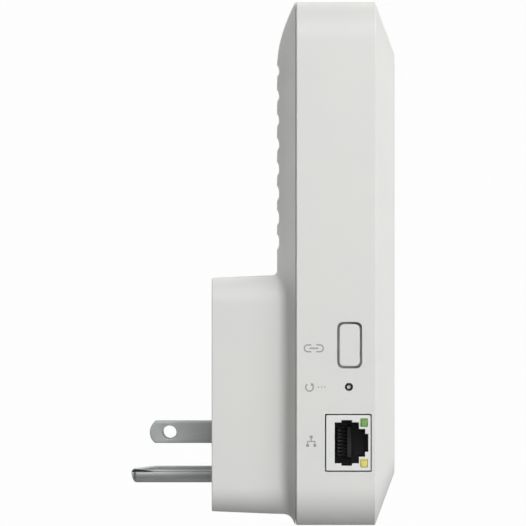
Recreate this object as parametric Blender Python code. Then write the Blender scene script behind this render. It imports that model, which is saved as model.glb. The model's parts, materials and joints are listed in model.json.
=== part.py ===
"""A plug-in wireless range extender, modelled as its separate pieces.

It plugs straight into a wall outlet. The origin is on the wall face of the
plug box, midway between the two line blades. +Z is up, +Y points into the
wall, and the room-side face looks along -Y. A depth is a distance from the
wall face towards the room, so a point at a depth has y = -depth. The controls
and the network jack are on the -X side.
"""

import math

import bmesh
import bpy
from mathutils import Matrix, Vector

MM = 0.001
GAP = 0.3 * MM

# Housing
WIDTH = 81.0 * MM
HEIGHT = 153.7 * MM
MIDDLE_Z = 50.3 * MM
CORNER_RADIUS = 11.5 * MM
WALL = 2.2 * MM
BACK_DEPTH = 19.3 * MM
SEAM_DEPTH = 24.6 * MM
FACET_DEPTH = 47.9 * MM
FRONT_DEPTH = 53.8 * MM
FACET_INSET = 15.0 * MM
FRONT_RADIUS = 5.0 * MM
BACK_INSET = 17.0 * MM
BACK_RADIUS = 8.0 * MM
BACK_EASE = 1.7
LIP_THICKNESS = 1.2 * MM
LIP_DEPTH = 27.5 * MM
HOLLOW_INSET = 0.6 * MM
HOLLOW_RADIUS_LOSS = 1.0 * MM
RIM_STEP = 0.4 * MM
SIDE_X = -WIDTH / 2

# Plug box behind the housing, which tapers towards the wall
BOX_MIDDLE_Z = 11.7 * MM
BOX_HALF_WIDTH = 34.0 * MM
BOX_HALF_HEIGHT = 35.1 * MM
BOX_RADIUS = 8.0 * MM
BOX_TAPER = 0.8 * MM
BOX_FLARE_DEPTH = 16.5 * MM
BOX_FLARE_END = SEAM_DEPTH - 1.0 * MM
BOX_FLARE_X = 4.2 * MM
BOX_FLARE_Z = 0.8 * MM
BOX_FLARE_SWEEP = 0.95
BOX_FLARE_STEPS = 5

# Cooling grooves across the upper back
GROOVES = 8
GROOVE_TOP_Z = 108.0 * MM
GROOVE_PITCH = 7.3 * MM
GROOVE_RADIUS = 3.0 * MM
GROOVE_CUT = 0.6 * MM
SLOTS_PER_GROOVE = 3
SLOT_LENGTH = 10.0 * MM
SLOT_HEIGHT = 1.0 * MM
SLOT_PITCH = 13.0 * MM

# Prongs: two line blades and a longer ground pin
BLADE_SPACING = 12.7 * MM
BLADE_LENGTH = 18.7 * MM
BLADE_HEIGHT = 6.35 * MM
BLADE_THICKNESS = 1.5 * MM
BLADE_TIP_RADIUS = 4.0 * MM
BLADE_HOLE_RADIUS = 2.0 * MM
BLADE_HOLE_AT = 12.8 * MM
BLADE_ROOT_DEPTH = 8.0 * MM
TAIL_HEIGHT = 3.0 * MM
TAIL_DEPTH = 13.5 * MM
GROUND_Z = -12.7 * MM
GROUND_LENGTH = 24.3 * MM
GROUND_RADIUS = 2.5 * MM
GROUND_SLIT_RISE = (0.75 * MM, 1.1 * MM)
GROUND_TIP_RISE = 1.1 * MM
GROUND_TIP_LENGTH = 5.0 * MM
NOSE_SWEEP = math.radians(78.0)
NOSE_STEPS = 5

# Blade carrier
CARRIER_HALF_WIDTH = 15.0 * MM
CARRIER_LOW_Z = -17.0 * MM
CARRIER_HIGH_Z = 6.0 * MM
CARRIER_DEPTHS = (2.6 * MM, 7.6 * MM)
CARRIER_RADIUS = 2.0 * MM

# Boards
POWER_BOARD_DEPTHS = (10.5 * MM, 12.1 * MM)
POWER_BOARD_HALF_WIDTH = 29.5 * MM
POWER_BOARD_Z = (-18.5 * MM, 42.5 * MM)
POWER_BOARD_RADIUS = 4.0 * MM
MAIN_BOARD_DEPTHS = (31.2 * MM, 32.8 * MM)
MAIN_BOARD_HALF_WIDTH = 35.8 * MM
MAIN_BOARD_INSET_Z = 4.4 * MM
MAIN_BOARD_RADIUS = 8.0 * MM
SHEET_DEPTHS = (28.6 * MM, 29.0 * MM)
SHEET_HALF_WIDTH = 33.0 * MM
SHEET_Z = (-19.0 * MM, 46.0 * MM)
SHEET_RADIUS = 4.0 * MM
BOSS_RADIUS = 2.6 * MM
BOSS_X = 24.0 * MM
BOSS_Z = (54.0 * MM, 112.0 * MM)
SCREW_RADIUS = 1.3 * MM
SCREW_HEAD_RADIUS = 2.4 * MM
SCREW_HEAD_STEPS = (1.0 * MM, 1.5 * MM)

# Controls on the side
BUTTON_DEPTH = 40.3 * MM
BUTTON_Z = 26.5 * MM
BUTTON_OPENING = (7.3 * MM, 13.6 * MM)
BUTTON_RADIUS = 1.8 * MM
BUTTON_GAP = 0.55 * MM
BUTTON_TRAVEL = 0.5 * MM
BUTTON_EDGE = 0.25 * MM
BUTTON_FLANGE = (1.2 * MM, 0.8 * MM)
BUTTON_STEM_HALF_DEPTH = 1.6 * MM
BUTTON_STEM_END = 2.6 * MM
RESET_DEPTH = 40.1 * MM
RESET_Z = 14.3 * MM
RESET_HOLE_RADIUS = 1.175 * MM
RESET_TIP_RADIUS = 0.6 * MM
SWITCH_SIZE = 6.2 * MM
SWITCH_FACE_X = -31.4 * MM
SWITCH_BACK_X = -27.9 * MM
PLUNGER_RADIUS = 1.5 * MM
PLUNGER_REACH = 2.3 * MM
PLUNGER_END_X = -30.6 * MM
RESET_TIP_SINK = 1.5 * MM
BRACKET_SHEET = 0.5 * MM

# Network jack
JACK_Z = -2.0 * MM
JACK_OPENING_DEPTHS = (33.1 * MM, 46.75 * MM)
JACK_OPENING_HEIGHT = 16.9 * MM
JACK_GAP = 0.35 * MM
JACK_FACE_X = SIDE_X + 0.1 * MM
JACK_BACK_X = -19.5 * MM
JACK_CAVITY_X = -26.0 * MM
JACK_MAIN = (35.95 * MM, 43.0 * MM, 11.95 * MM)
JACK_NOTCH = (37.9 * MM, 41.0 * MM, 13.3 * MM)
JACK_LATCH = (42.9 * MM, 44.8 * MM, 8.1 * MM)
JACK_LATCH_TIP = (44.7 * MM, 45.73 * MM, 5.2 * MM)
JACK_NOTCH_LENGTH = 6.0 * MM
CONTACTS = 8
CONTACT_PITCH = 1.02 * MM
CONTACT_WIDTH = 0.45 * MM
CONTACT_THICKNESS = 0.3 * MM
CONTACT_BEND = ((0.6 * MM, 0.0), (0.0, 0.35 * MM), (0.7 * MM, 0.75 * MM))
CONTACT_END = ((3.0 * MM, 1.9 * MM), (1.6 * MM, 1.6 * MM))
CONTACT_FRONT = 2.0 * MM
CONTACT_FOOT = 0.6 * MM
LIGHT_DEPTHS = (43.35 * MM, 45.7 * MM)
LIGHT_REACH = (4.6 * MM, 7.2 * MM)
LIGHT_GAP = 0.15 * MM
LIGHT_LENGTH = 9.0 * MM

# Status lights on the front
STATUS_X = -17.0 * MM
STATUS_Z = (66.0 * MM, 56.0 * MM, 46.0 * MM, 36.0 * MM)
STATUS_WINDOW = (4.4 * MM, 1.6 * MM)
STATUS_LED = (2.0 * MM, 0.8 * MM, 1.25 * MM)
GUIDE_BRIDGE_WIDTH = 6.0 * MM
GUIDE_BRIDGE_DEPTHS = (FRONT_DEPTH - 6.0 * MM, FRONT_DEPTH - 3.5 * MM)
GUIDE_MARGIN = 3.0 * MM

# Transformer
CORE_X = (7.0 * MM, 27.0 * MM)
CORE_Z = (16.0 * MM, 36.0 * MM)
CORE_LIFT = 2.0 * MM
CORE_THICKNESS = 10.0 * MM
CORE_LEG = 3.0 * MM
COIL_THICKNESS = 14.0 * MM

# Supply parts in millimetres. Round: x, z, radius, height. Square: x, z, height.
ROUND_PARTS = {
    "bulk_capacitor_1": (-21.0, 34.0, 5.5, 15.0),
    "bulk_capacitor_2": (-21.0, 21.0, 5.5, 15.0),
    "output_capacitor": (-8.0, 36.0, 4.0, 12.5),
    "line_choke": (20.0, 5.0, 5.0, 11.0),
}
SQUARE_PARTS = {
    "line_capacitor": ((-13.0, 1.0), (9.0, 15.0), 11.0),
    "bridge_rectifier": ((-9.0, -1.0), (22.0, 28.0), 3.0),
    "power_connector": ((-4.0, 3.0), (36.0, 41.0), 5.5),
}
CAN_SOFTNESS = 0.12
FUSE_RADIUS = 2.0 * MM
FUSE_X = (12.0 * MM, 24.0 * MM)
FUSE_Z = -9.0 * MM

# Radio parts
CAN_X = (-8.0 * MM, 26.0 * MM)
CAN_Z = {
    "processor_shield": (20.0 * MM, 48.0 * MM),
    "radio_shield": (62.0 * MM, 104.0 * MM),
}
CAN_SHEET = 0.4 * MM
CAN_DEPTHS = (33.2 * MM, 36.0 * MM)
PAD_X = (-4.0 * MM, 22.0 * MM)
PAD_Z = (24.0 * MM, 100.0 * MM)
PAD_DEPTHS = (36.4 * MM, 37.2 * MM)
SINK_Z = (20.0 * MM, 104.0 * MM)
SINK_DEPTHS = (37.6 * MM, 46.0 * MM)
SINK_PLATE = 1.6 * MM
SINK_FINS = 7

# Aerials
ANTENNA_THICKNESS = 0.8 * MM
ANTENNA_DEPTHS = (35.0 * MM, 43.5 * MM)
ANTENNA_SIDE_Z = (62.0 * MM, 100.0 * MM)
ANTENNA_TOP_X = (4.0 * MM, 28.0 * MM)
ANTENNA_SIDE_CLEARANCE = 1.2 * MM
ANTENNA_TOP_CLEARANCE = 1.0 * MM

# Routes of the leads, in millimetres: x, depth, z
ANTENNA_ROUTES = {
    "antenna_lead_left": [
        (-36, 39, 61),
        (-35, 38, 56),
        (-28, 36, 60),
        (-15, 35, 70),
        (-9, 34.5, 72),
    ],
    "antenna_lead_right": [(36, 39, 61), (35, 38, 57), (31, 36, 60), (27.5, 34.5, 66)],
    "antenna_lead_top_left": [(-16, 39, 122), (-15, 37, 117), (-12, 36, 110), (-6, 34.5, 105.5)],
    "antenna_lead_top_right": [(16, 39, 122), (17, 37, 117), (18, 36, 110), (14, 34.5, 105.5)],
}
SUPPLY_ROUTE = [(0, 19, 38.5), (0, 22, 41), (0, 25, 45), (0, 27, 47.8), (0, 29.8, 49)]
COAX_RADIUS = 0.6 * MM
SUPPLY_LEAD_RADIUS = 1.0 * MM


def at(x, depth, z):
    return Vector((x, -depth, z))


def material(name, colour, roughness, metallic=0.0):
    """A Principled material, made once and shared by the pieces that name it."""
    found = bpy.data.materials.get(name)
    if found:
        return found
    made = bpy.data.materials.new(name)
    made.use_nodes = True
    shader = made.node_tree.nodes["Principled BSDF"]
    shader.inputs["Base Color"].default_value = (*colour, 1.0)
    shader.inputs["Roughness"].default_value = roughness
    shader.inputs["Metallic"].default_value = metallic
    made.diffuse_color = (*colour, 1.0)
    return made


def housing_white():
    return material("housing_white", (0.70, 0.70, 0.68), 0.55)


def jack_white():
    return material("jack_white", (0.76, 0.77, 0.75), 0.4)


def prong_nickel():
    return material("prong_nickel", (0.50, 0.50, 0.49), 0.3, 1.0)


def contact_gold():
    return material("contact_gold", (0.72, 0.55, 0.25), 0.3, 1.0)


def window_green():
    return material("window_green", (0.22, 0.42, 0.10), 0.35)


def window_yellow():
    return material("window_yellow", (0.68, 0.58, 0.12), 0.35)


def board_green():
    return material("board_green", (0.02, 0.16, 0.07), 0.45)


def switch_black():
    return material("switch_black", (0.02, 0.02, 0.02), 0.5)


def plunger_white():
    return material("plunger_white", (0.72, 0.72, 0.70), 0.5)


def tinned_steel():
    return material("tinned_steel", (0.60, 0.60, 0.58), 0.35, 1.0)


def sink_aluminium():
    return material("sink_aluminium", (0.72, 0.72, 0.73), 0.35, 1.0)


def ferrite():
    return material("ferrite", (0.045, 0.045, 0.05), 0.6)


def winding_tape():
    return material("winding_tape", (0.72, 0.55, 0.10), 0.45)


def capacitor_sleeve():
    return material("capacitor_sleeve", (0.03, 0.05, 0.10), 0.4)


def carrier_black():
    return material("carrier_black", (0.03, 0.03, 0.03), 0.6)


def film_box():
    return material("film_box", (0.65, 0.45, 0.08), 0.5)


def fuse_ceramic():
    return material("fuse_ceramic", (0.70, 0.67, 0.60), 0.4)


def insulating_film():
    return material("insulating_film", (0.75, 0.74, 0.70), 0.5)


def thermal_pad_grey():
    return material("thermal_pad_grey", (0.35, 0.42, 0.50), 0.8)


def light_guide_clear():
    return material("light_guide_clear", (0.82, 0.84, 0.84), 0.2)


def led_package():
    return material("led_package", (0.75, 0.72, 0.45), 0.3)


def lead_black():
    return material("lead_black", (0.02, 0.02, 0.02), 0.5)


def finish_mesh(name, shape, coat, smooth_angle=35.0):
    """Turns a bmesh into an object whose faces point out."""
    bmesh.ops.recalc_face_normals(shape, faces=shape.faces[:])
    mesh = bpy.data.meshes.new(name)
    shape.to_mesh(mesh)
    shape.free()
    mesh.shade_smooth()
    mesh.set_sharp_from_angle(angle=math.radians(smooth_angle))
    made = bpy.data.objects.new(name, mesh)
    bpy.context.scene.collection.objects.link(made)
    if coat:
        mesh.materials.append(coat)
    return made


def rounded_outline(half_u, low_v, high_v, radius, steps=7):
    """A rectangle with round corners, as 2-D points in anticlockwise order."""
    corners = (
        (half_u - radius, high_v - radius, 0.0),
        (radius - half_u, high_v - radius, 90.0),
        (radius - half_u, low_v + radius, 180.0),
        (half_u - radius, low_v + radius, 270.0),
    )
    points = []
    for u, v, start in corners:
        for step in range(steps + 1):
            angle = math.radians(start + 90.0 * step / steps)
            points.append((u + radius * math.cos(angle), v + radius * math.sin(angle)))
    return points


def circle_outline(radius, sides=24, u=0.0, v=0.0):
    angles = [2 * math.pi * step / sides for step in range(sides)]
    return [(u + radius * math.cos(a), v + radius * math.sin(a)) for a in angles]


def add_loft(shape, rings):
    """Skins rings of equal point count, and closes both ends."""
    rows = [[shape.verts.new(point) for point in ring] for ring in rings]
    for row, following in zip(rows, rows[1:]):
        for index, vertex in enumerate(row):
            after = (index + 1) % len(row)
            shape.faces.new((vertex, row[after], following[after], following[index]))
    shape.faces.new(rows[0])
    shape.faces.new(rows[-1])


def loft(name, rings, coat=None, smooth_angle=35.0):
    shape = bmesh.new()
    add_loft(shape, rings)
    return finish_mesh(name, shape, coat, smooth_angle)


def along_x(outline, low_x, high_x):
    """Two rings that extrude an outline of (depth, z) points along X."""
    return [[at(x, u, v) for u, v in outline] for x in (low_x, high_x)]


def along_depth(outline, low, high):
    """Two rings that extrude an outline of (x, z) points through the depth."""
    return [[at(u, depth, v) for u, v in outline] for depth in (low, high)]


def along_z(outline, low_z, high_z):
    """Two rings that extrude an outline of (x, depth) points along Z."""
    return [[at(u, v, z) for u, v in outline] for z in (low_z, high_z)]


def add_block(shape, x, depth, z):
    """Adds a box between pairs of x, depth and z."""
    corners = [(x[0], z[0]), (x[1], z[0]), (x[1], z[1]), (x[0], z[1])]
    add_loft(shape, along_depth(corners, *depth))


def block(name, x, depth, z, coat=None):
    shape = bmesh.new()
    add_block(shape, x, depth, z)
    return finish_mesh(name, shape, coat)


def blocks(name, sizes, coat=None):
    """One object of boxes that stay apart, for cutting."""
    shape = bmesh.new()
    for x, depth, z in sizes:
        add_block(shape, x, depth, z)
    return finish_mesh(name, shape, coat)


def boolean(target, operand, operation="DIFFERENCE"):
    """Cuts the operand from the target, or joins it, and keeps it as a guide."""
    operand.hide_render = True
    operand.display_type = "WIRE"
    modifier = target.modifiers.new(operand.name, "BOOLEAN")
    modifier.operation = operation
    modifier.solver = "EXACT"
    modifier.object = operand


def span(middle, size):
    return (middle - size / 2, middle + size / 2)


# Housing


def housing_ring(depth, inset, radius):
    """The housing's outline at a depth, drawn in from its widest by an inset."""
    outline = rounded_outline(
        WIDTH / 2 - inset,
        MIDDLE_Z - HEIGHT / 2 + inset,
        MIDDLE_Z + HEIGHT / 2 - inset,
        radius,
    )
    return [at(x, depth, z) for x, z in outline]


def back_profile(offset=0.0, steps=6):
    """Rings of the curved back edge, from the seam to the flat back.

    The edge starts as a straight slope and eases into the flat of the back.
    """
    rise = SEAM_DEPTH - BACK_DEPTH
    rings = []
    for step in range(steps + 1):
        share = step / steps
        inset = BACK_INSET * share
        climb = rise * (1 - (1 - share) ** BACK_EASE)
        depth = SEAM_DEPTH - GAP / 2 - climb * (1 - GAP / 2 / rise) + offset
        radius = CORNER_RADIUS + (BACK_RADIUS - CORNER_RADIUS) * share
        rings.append((depth, inset, radius))
    return rings


def facet_tangent(angle):
    return WALL * math.tan(angle / 2)


def make_front_cover():
    """The room-side shell: side walls, four sloping facets and a flat front."""
    slope = math.atan2(FRONT_DEPTH - FACET_DEPTH, FACET_INSET)
    inner_front_inset = FACET_INSET + facet_tangent(slope)
    inner_facet_depth = FACET_DEPTH - facet_tangent(math.pi / 2 - slope)
    rim = SEAM_DEPTH + GAP / 2
    rings = [
        housing_ring(FRONT_DEPTH - WALL, inner_front_inset, FRONT_RADIUS),
        housing_ring(inner_facet_depth, WALL, CORNER_RADIUS - WALL),
        housing_ring(rim, WALL, CORNER_RADIUS - WALL),
        housing_ring(rim, 0.0, CORNER_RADIUS),
        housing_ring(FACET_DEPTH, 0.0, CORNER_RADIUS),
        housing_ring(FRONT_DEPTH, FACET_INSET, FRONT_RADIUS),
    ]
    cover = loft("front_cover", rings, housing_white(), 12.0)
    for cutter in side_openings() + [front_windows()]:
        boolean(cover, cutter)
    return cover


def side_openings():
    """Cutters for the button, the reset hole and the jack, through the side wall."""
    outer_x = SIDE_X - WALL
    half_depth = BUTTON_OPENING[0] / 2
    button = rounded_outline(
        half_depth,
        BUTTON_Z - BUTTON_OPENING[1] / 2,
        BUTTON_Z + BUTTON_OPENING[1] / 2,
        BUTTON_RADIUS,
        4,
    )
    button = [(BUTTON_DEPTH + u, v) for u, v in button]
    reset = circle_outline(RESET_HOLE_RADIUS, 20, RESET_DEPTH, RESET_Z)
    inner_x = SIDE_X + 1.2 * WALL
    jack_inner_x = SIDE_X + 2 * WALL
    return [
        loft("cut_button_opening", along_x(button, outer_x, inner_x)),
        loft("cut_reset_hole", along_x(reset, outer_x, inner_x)),
        block(
            "cut_jack_opening",
            (outer_x, jack_inner_x),
            JACK_OPENING_DEPTHS,
            span(JACK_Z, JACK_OPENING_HEIGHT),
        ),
    ]


def front_windows():
    """Cutter for the row of status windows through the front."""
    shape = bmesh.new()
    for z in STATUS_Z:
        outline = status_outline(z, 0.0)
        add_loft(shape, along_depth(outline, FRONT_DEPTH - 2 * WALL, FRONT_DEPTH + WALL))
    return finish_mesh("cut_status_windows", shape, None)


def status_outline(z, shrink):
    """One status window's outline, a bar with round ends."""
    width, height = STATUS_WINDOW
    half = height / 2 - shrink
    outline = rounded_outline(width / 2 - shrink, z - half, z + half, half * 0.98, 4)
    return [(STATUS_X + u, v) for u, v in outline]


def box_ring(depth, growth_x, growth_z, shrink=0.0):
    """The plug box's outline at a depth. It narrows towards the wall."""
    taper = BOX_TAPER * (1 - min(depth, BACK_DEPTH) / BACK_DEPTH)
    half_x = BOX_HALF_WIDTH - taper + growth_x - shrink
    half_z = BOX_HALF_HEIGHT - taper + growth_z - shrink
    outline = rounded_outline(
        half_x, BOX_MIDDLE_Z - half_z, BOX_MIDDLE_Z + half_z, BOX_RADIUS - shrink
    )
    return [at(x, depth, z) for x, z in outline]


def box_outer():
    """The plug box as a solid, flaring where it meets the housing's back."""
    rings = [box_ring(0.0, 0.0, 0.0), box_ring(BOX_FLARE_DEPTH, 0.0, 0.0)]
    for step in range(1, BOX_FLARE_STEPS + 1):
        share = step / BOX_FLARE_STEPS
        swell = 1 - math.sqrt(1 - (BOX_FLARE_SWEEP * share) ** 2)
        depth = BOX_FLARE_DEPTH + (BOX_FLARE_END - BOX_FLARE_DEPTH) * share
        rings.append(box_ring(depth, BOX_FLARE_X * swell, BOX_FLARE_Z * swell))
    return loft("join_plug_box", rings)


def make_back_cover():
    """The wall-side shell: curved back, grooves, plug box, lip and screw bosses."""
    lip_inset = WALL + GAP
    seam = SEAM_DEPTH - GAP / 2
    outer = [
        housing_ring(LIP_DEPTH, lip_inset, CORNER_RADIUS - lip_inset),
        housing_ring(seam, lip_inset, CORNER_RADIUS - lip_inset),
    ]
    outer += [housing_ring(*row) for row in back_profile()]
    cover = loft("back_cover", outer, housing_white(), 20.0)
    boolean(cover, box_outer(), "UNION")
    boolean(cover, housing_hollow())
    boolean(cover, box_hollow())
    boolean(cover, screw_bosses(), "UNION")
    boolean(cover, boss_holes())
    boolean(cover, groove_cutters())
    boolean(cover, vent_slots())
    boolean(cover, prong_slots())
    return cover


def housing_hollow():
    """The room inside the back shell, open towards the front."""
    inner_inset = WALL + GAP + LIP_THICKNESS
    radius = CORNER_RADIUS - inner_inset
    rings = [
        housing_ring(LIP_DEPTH + WALL, inner_inset, radius),
        housing_ring(SEAM_DEPTH + RIM_STEP, inner_inset, radius),
    ]
    for depth, inset, corner in back_profile(WALL)[2:]:
        ring = housing_ring(depth, inset + HOLLOW_INSET, corner - HOLLOW_RADIUS_LOSS)
        rings.append(ring)
    return loft("cut_housing_hollow", rings)


def box_hollow():
    """The room inside the plug box."""
    rings = [
        box_ring(WALL, 0.0, 0.0, WALL),
        box_ring(BACK_DEPTH + 2 * WALL, 0.0, 0.0, WALL),
    ]
    return loft("cut_box_hollow", rings)


def boss_places():
    return [(x, z) for z in BOSS_Z for x in (-BOSS_X, BOSS_X)]


def screw_bosses():
    shape = bmesh.new()
    low = BACK_DEPTH + WALL / 2
    for x, z in boss_places():
        outline = circle_outline(BOSS_RADIUS, 20, x, z)
        add_loft(shape, along_depth(outline, low, MAIN_BOARD_DEPTHS[0] - GAP))
    return finish_mesh("join_screw_bosses", shape, None)


def boss_holes():
    shape = bmesh.new()
    for x, z in boss_places():
        outline = circle_outline(SCREW_RADIUS + GAP, 16, x, z)
        add_loft(shape, along_depth(outline, BACK_DEPTH + 1.2 * WALL, MAIN_BOARD_DEPTHS[0]))
    return finish_mesh("cut_boss_holes", shape, None)


def groove_heights():
    return [GROOVE_TOP_Z - GROOVE_PITCH * index for index in range(GROOVES)]


def groove_cutters():
    """Shallow round-bottomed grooves that run the width of the flat back."""
    shape = bmesh.new()
    depth = BACK_DEPTH + GROOVE_CUT - GROOVE_RADIUS
    reach = WIDTH / 2 - 0.5 * BACK_INSET
    for z in groove_heights():
        outline = circle_outline(GROOVE_RADIUS, 28, depth, z)
        add_loft(shape, along_x(outline, -reach, reach))
    return finish_mesh("cut_grooves", shape, None)


def vent_slots():
    """Narrow slots through the floor of each groove."""
    shape = bmesh.new()
    middle = (SLOTS_PER_GROOVE - 1) / 2
    for z in groove_heights():
        for index in range(SLOTS_PER_GROOVE):
            x = (index - middle) * SLOT_PITCH
            depth = (BACK_DEPTH - WALL, BACK_DEPTH + 2 * WALL)
            add_block(shape, span(x, SLOT_LENGTH), depth, span(z, SLOT_HEIGHT))
    return finish_mesh("cut_vent_slots", shape, None)


def prong_slots():
    """Clearance for the three prongs through the wall face."""
    shape = bmesh.new()
    depth = (-WALL, 2 * WALL)
    for x in blade_places().values():
        size = BLADE_THICKNESS + 2 * GAP
        add_block(shape, span(x, size), depth, span(0.0, BLADE_HEIGHT + 2 * GAP))
    outline = circle_outline(GROUND_RADIUS + GAP, 24, 0.0, GROUND_Z)
    add_loft(shape, along_depth(outline, *depth))
    return finish_mesh("cut_prong_slots", shape, None)


# Prongs


def blade_places():
    return {
        "line_blade_live": -BLADE_SPACING / 2,
        "line_blade_neutral": BLADE_SPACING / 2,
    }


def blade_outline(steps=8):
    """A blade seen from the side: tail, shoulder, and an arched tip."""
    half = BLADE_HEIGHT / 2
    arch_middle = BLADE_LENGTH - BLADE_TIP_RADIUS
    sweep = math.asin(half / BLADE_TIP_RADIUS)
    points = [
        (TAIL_DEPTH, TAIL_HEIGHT / 2),
        (TAIL_DEPTH, -TAIL_HEIGHT / 2),
        (BLADE_ROOT_DEPTH, -TAIL_HEIGHT / 2),
        (BLADE_ROOT_DEPTH, -half),
    ]
    for step in range(steps + 1):
        angle = sweep * (2 * step / steps - 1)
        reach = arch_middle + BLADE_TIP_RADIUS * math.cos(angle)
        points.append((-reach, BLADE_TIP_RADIUS * math.sin(angle)))
    points += [(BLADE_ROOT_DEPTH, half), (BLADE_ROOT_DEPTH, TAIL_HEIGHT / 2)]
    return points


def make_line_blades():
    for name, x in blade_places().items():
        blade = loft(name, along_x(blade_outline(), *span(x, BLADE_THICKNESS)), prong_nickel())
        hole = circle_outline(BLADE_HOLE_RADIUS, 20, -BLADE_HOLE_AT, 0.0)
        rings = along_x(hole, *span(x, 2 * BLADE_THICKNESS))
        boolean(blade, loft("cut_hole_" + name, rings))


def ground_rings():
    """Rings of the ground pin: a straight shank, then a nose that rises to its lip."""
    nose = GROUND_RADIUS
    stations = [(BLADE_ROOT_DEPTH, 1.0)]
    for step in range(NOSE_STEPS + 1):
        angle = NOSE_SWEEP * step / NOSE_STEPS
        share = math.sin(angle) / math.sin(NOSE_SWEEP)
        stations.append((nose - GROUND_LENGTH - nose * share, math.cos(angle)))
    rings = []
    for depth, scale in stations:
        middle = GROUND_Z + GROUND_TIP_RISE * (1 - scale)
        outline = circle_outline(GROUND_RADIUS * scale, 24, 0.0, middle)
        rings.append([at(x, depth, z) for x, z in outline])
    return rings


def make_ground_pin():
    """A round pin rolled from sheet, with a seam along its side and a scooped tip."""
    pin = loft("ground_pin", ground_rings(), prong_nickel(), 40.0)
    beyond = -2 * GROUND_LENGTH
    seam_x = (-2 * GROUND_RADIUS, 0.0)
    seam_depth = (beyond, BLADE_ROOT_DEPTH / 2)
    seam_z = tuple(GROUND_Z + rise for rise in GROUND_SLIT_RISE)
    boolean(pin, block("cut_ground_seam", seam_x, seam_depth, seam_z))
    scoop_depth = (beyond, GROUND_TIP_LENGTH - GROUND_LENGTH)
    scoop_z = (GROUND_Z + GROUND_TIP_RISE, GROUND_Z + 2 * GROUND_RADIUS)
    wide = span(0.0, 4 * GROUND_RADIUS)
    boolean(pin, block("cut_ground_scoop", wide, scoop_depth, scoop_z))


def make_blade_carrier():
    """The moulded block that grips the three prongs behind the wall face."""
    z = (CARRIER_LOW_Z, CARRIER_HIGH_Z)
    outline = rounded_outline(CARRIER_HALF_WIDTH, *z, CARRIER_RADIUS, 3)
    carrier = loft("blade_carrier", along_depth(outline, *CARRIER_DEPTHS), carrier_black())
    shape = bmesh.new()
    depth = (0.0, 2 * CARRIER_DEPTHS[1])
    for x in blade_places().values():
        size = BLADE_THICKNESS + 2 * GAP
        add_block(shape, span(x, size), depth, span(0.0, BLADE_HEIGHT + 2 * GAP))
    hole = circle_outline(GROUND_RADIUS + GAP, 24, 0.0, GROUND_Z)
    add_loft(shape, along_depth(hole, *depth))
    boolean(carrier, finish_mesh("cut_carrier_slots", shape, None))


# Controls


def button_outline(shrink):
    half_depth = BUTTON_OPENING[0] / 2 - shrink
    half_z = BUTTON_OPENING[1] / 2 - shrink
    radius = BUTTON_RADIUS - 0.5 * shrink
    outline = rounded_outline(half_depth, BUTTON_Z - half_z, BUTTON_Z + half_z, radius, 4)
    return [(BUTTON_DEPTH + u, v) for u, v in outline]


def stepped_along_x(steps):
    """Rings of a turned or stepped piece: (x, outline of (depth, z)) in order."""
    return [[at(x, u, v) for u, v in outline] for x, outline in steps]


def make_pair_button():
    """The oblong button: a cap in the side wall, a flange behind it, and a stem."""
    overhang, thickness = BUTTON_FLANGE
    cap = button_outline(BUTTON_GAP)
    soft = button_outline(BUTTON_GAP + BUTTON_EDGE)
    flange = button_outline(-overhang)
    stem = button_outline(BUTTON_OPENING[0] / 2 - BUTTON_STEM_HALF_DEPTH)
    flange_x = SIDE_X + WALL + GAP
    steps = [
        (SIDE_X, soft),
        (SIDE_X + BUTTON_EDGE, cap),
        (flange_x, cap),
        (flange_x, flange),
        (flange_x + thickness, flange),
        (flange_x + thickness, stem),
        (SWITCH_FACE_X - BUTTON_STEM_END, stem),
    ]
    button = loft("pair_button", stepped_along_x(steps), housing_white())
    origin_to(button, at(SIDE_X, BUTTON_DEPTH, BUTTON_Z))


def origin_to(piece, place):
    """Moves a piece's origin without moving its shape."""
    piece.data.transform(Matrix.Translation(-place))
    piece.location = place


def make_side_switch(prefix, depth, z, plunger_steps):
    """A side-push switch: a steel bracket on the board, a body and a plunger."""
    half = SWITCH_SIZE / 2
    body_depth = (depth - half, depth + half)
    body = block(
        prefix + "_switch_body",
        (SWITCH_FACE_X, SWITCH_BACK_X),
        body_depth,
        span(z, SWITCH_SIZE),
        switch_black(),
    )
    bore = circle_outline(PLUNGER_RADIUS + GAP, 20, depth, z)
    bore_x = (SWITCH_FACE_X - WALL, PLUNGER_END_X + BUTTON_TRAVEL + GAP)
    boolean(body, loft("cut_bore_" + prefix, along_x(bore, *bore_x)))
    make_switch_bracket(prefix + "_switch_bracket", body_depth, z)
    rings = stepped_along_x(
        [(x, circle_outline(radius, 20, depth, z)) for x, radius in plunger_steps]
    )
    plunger = loft(prefix + "_switch_plunger", rings, plunger_white())
    origin_to(plunger, at(PLUNGER_END_X, depth, z))


def make_switch_bracket(name, body_depth, z):
    """A channel of sheet steel that stands on the board and holds the body."""
    sheet = BRACKET_SHEET
    inner = SWITCH_SIZE / 2 + GAP
    low = MAIN_BOARD_DEPTHS[1] + GAP
    outline = [
        (z - inner - sheet, low),
        (z - inner - sheet, body_depth[1] + GAP + sheet),
        (z + inner + sheet, body_depth[1] + GAP + sheet),
        (z + inner + sheet, low),
        (z + inner, low),
        (z + inner, body_depth[1] + GAP),
        (z - inner, body_depth[1] + GAP),
        (z - inner, low),
    ]
    x = (SWITCH_FACE_X + GAP, SWITCH_BACK_X - GAP)
    rings = [[at(end, depth, height) for height, depth in outline] for end in x]
    loft(name, rings, tinned_steel())


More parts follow.
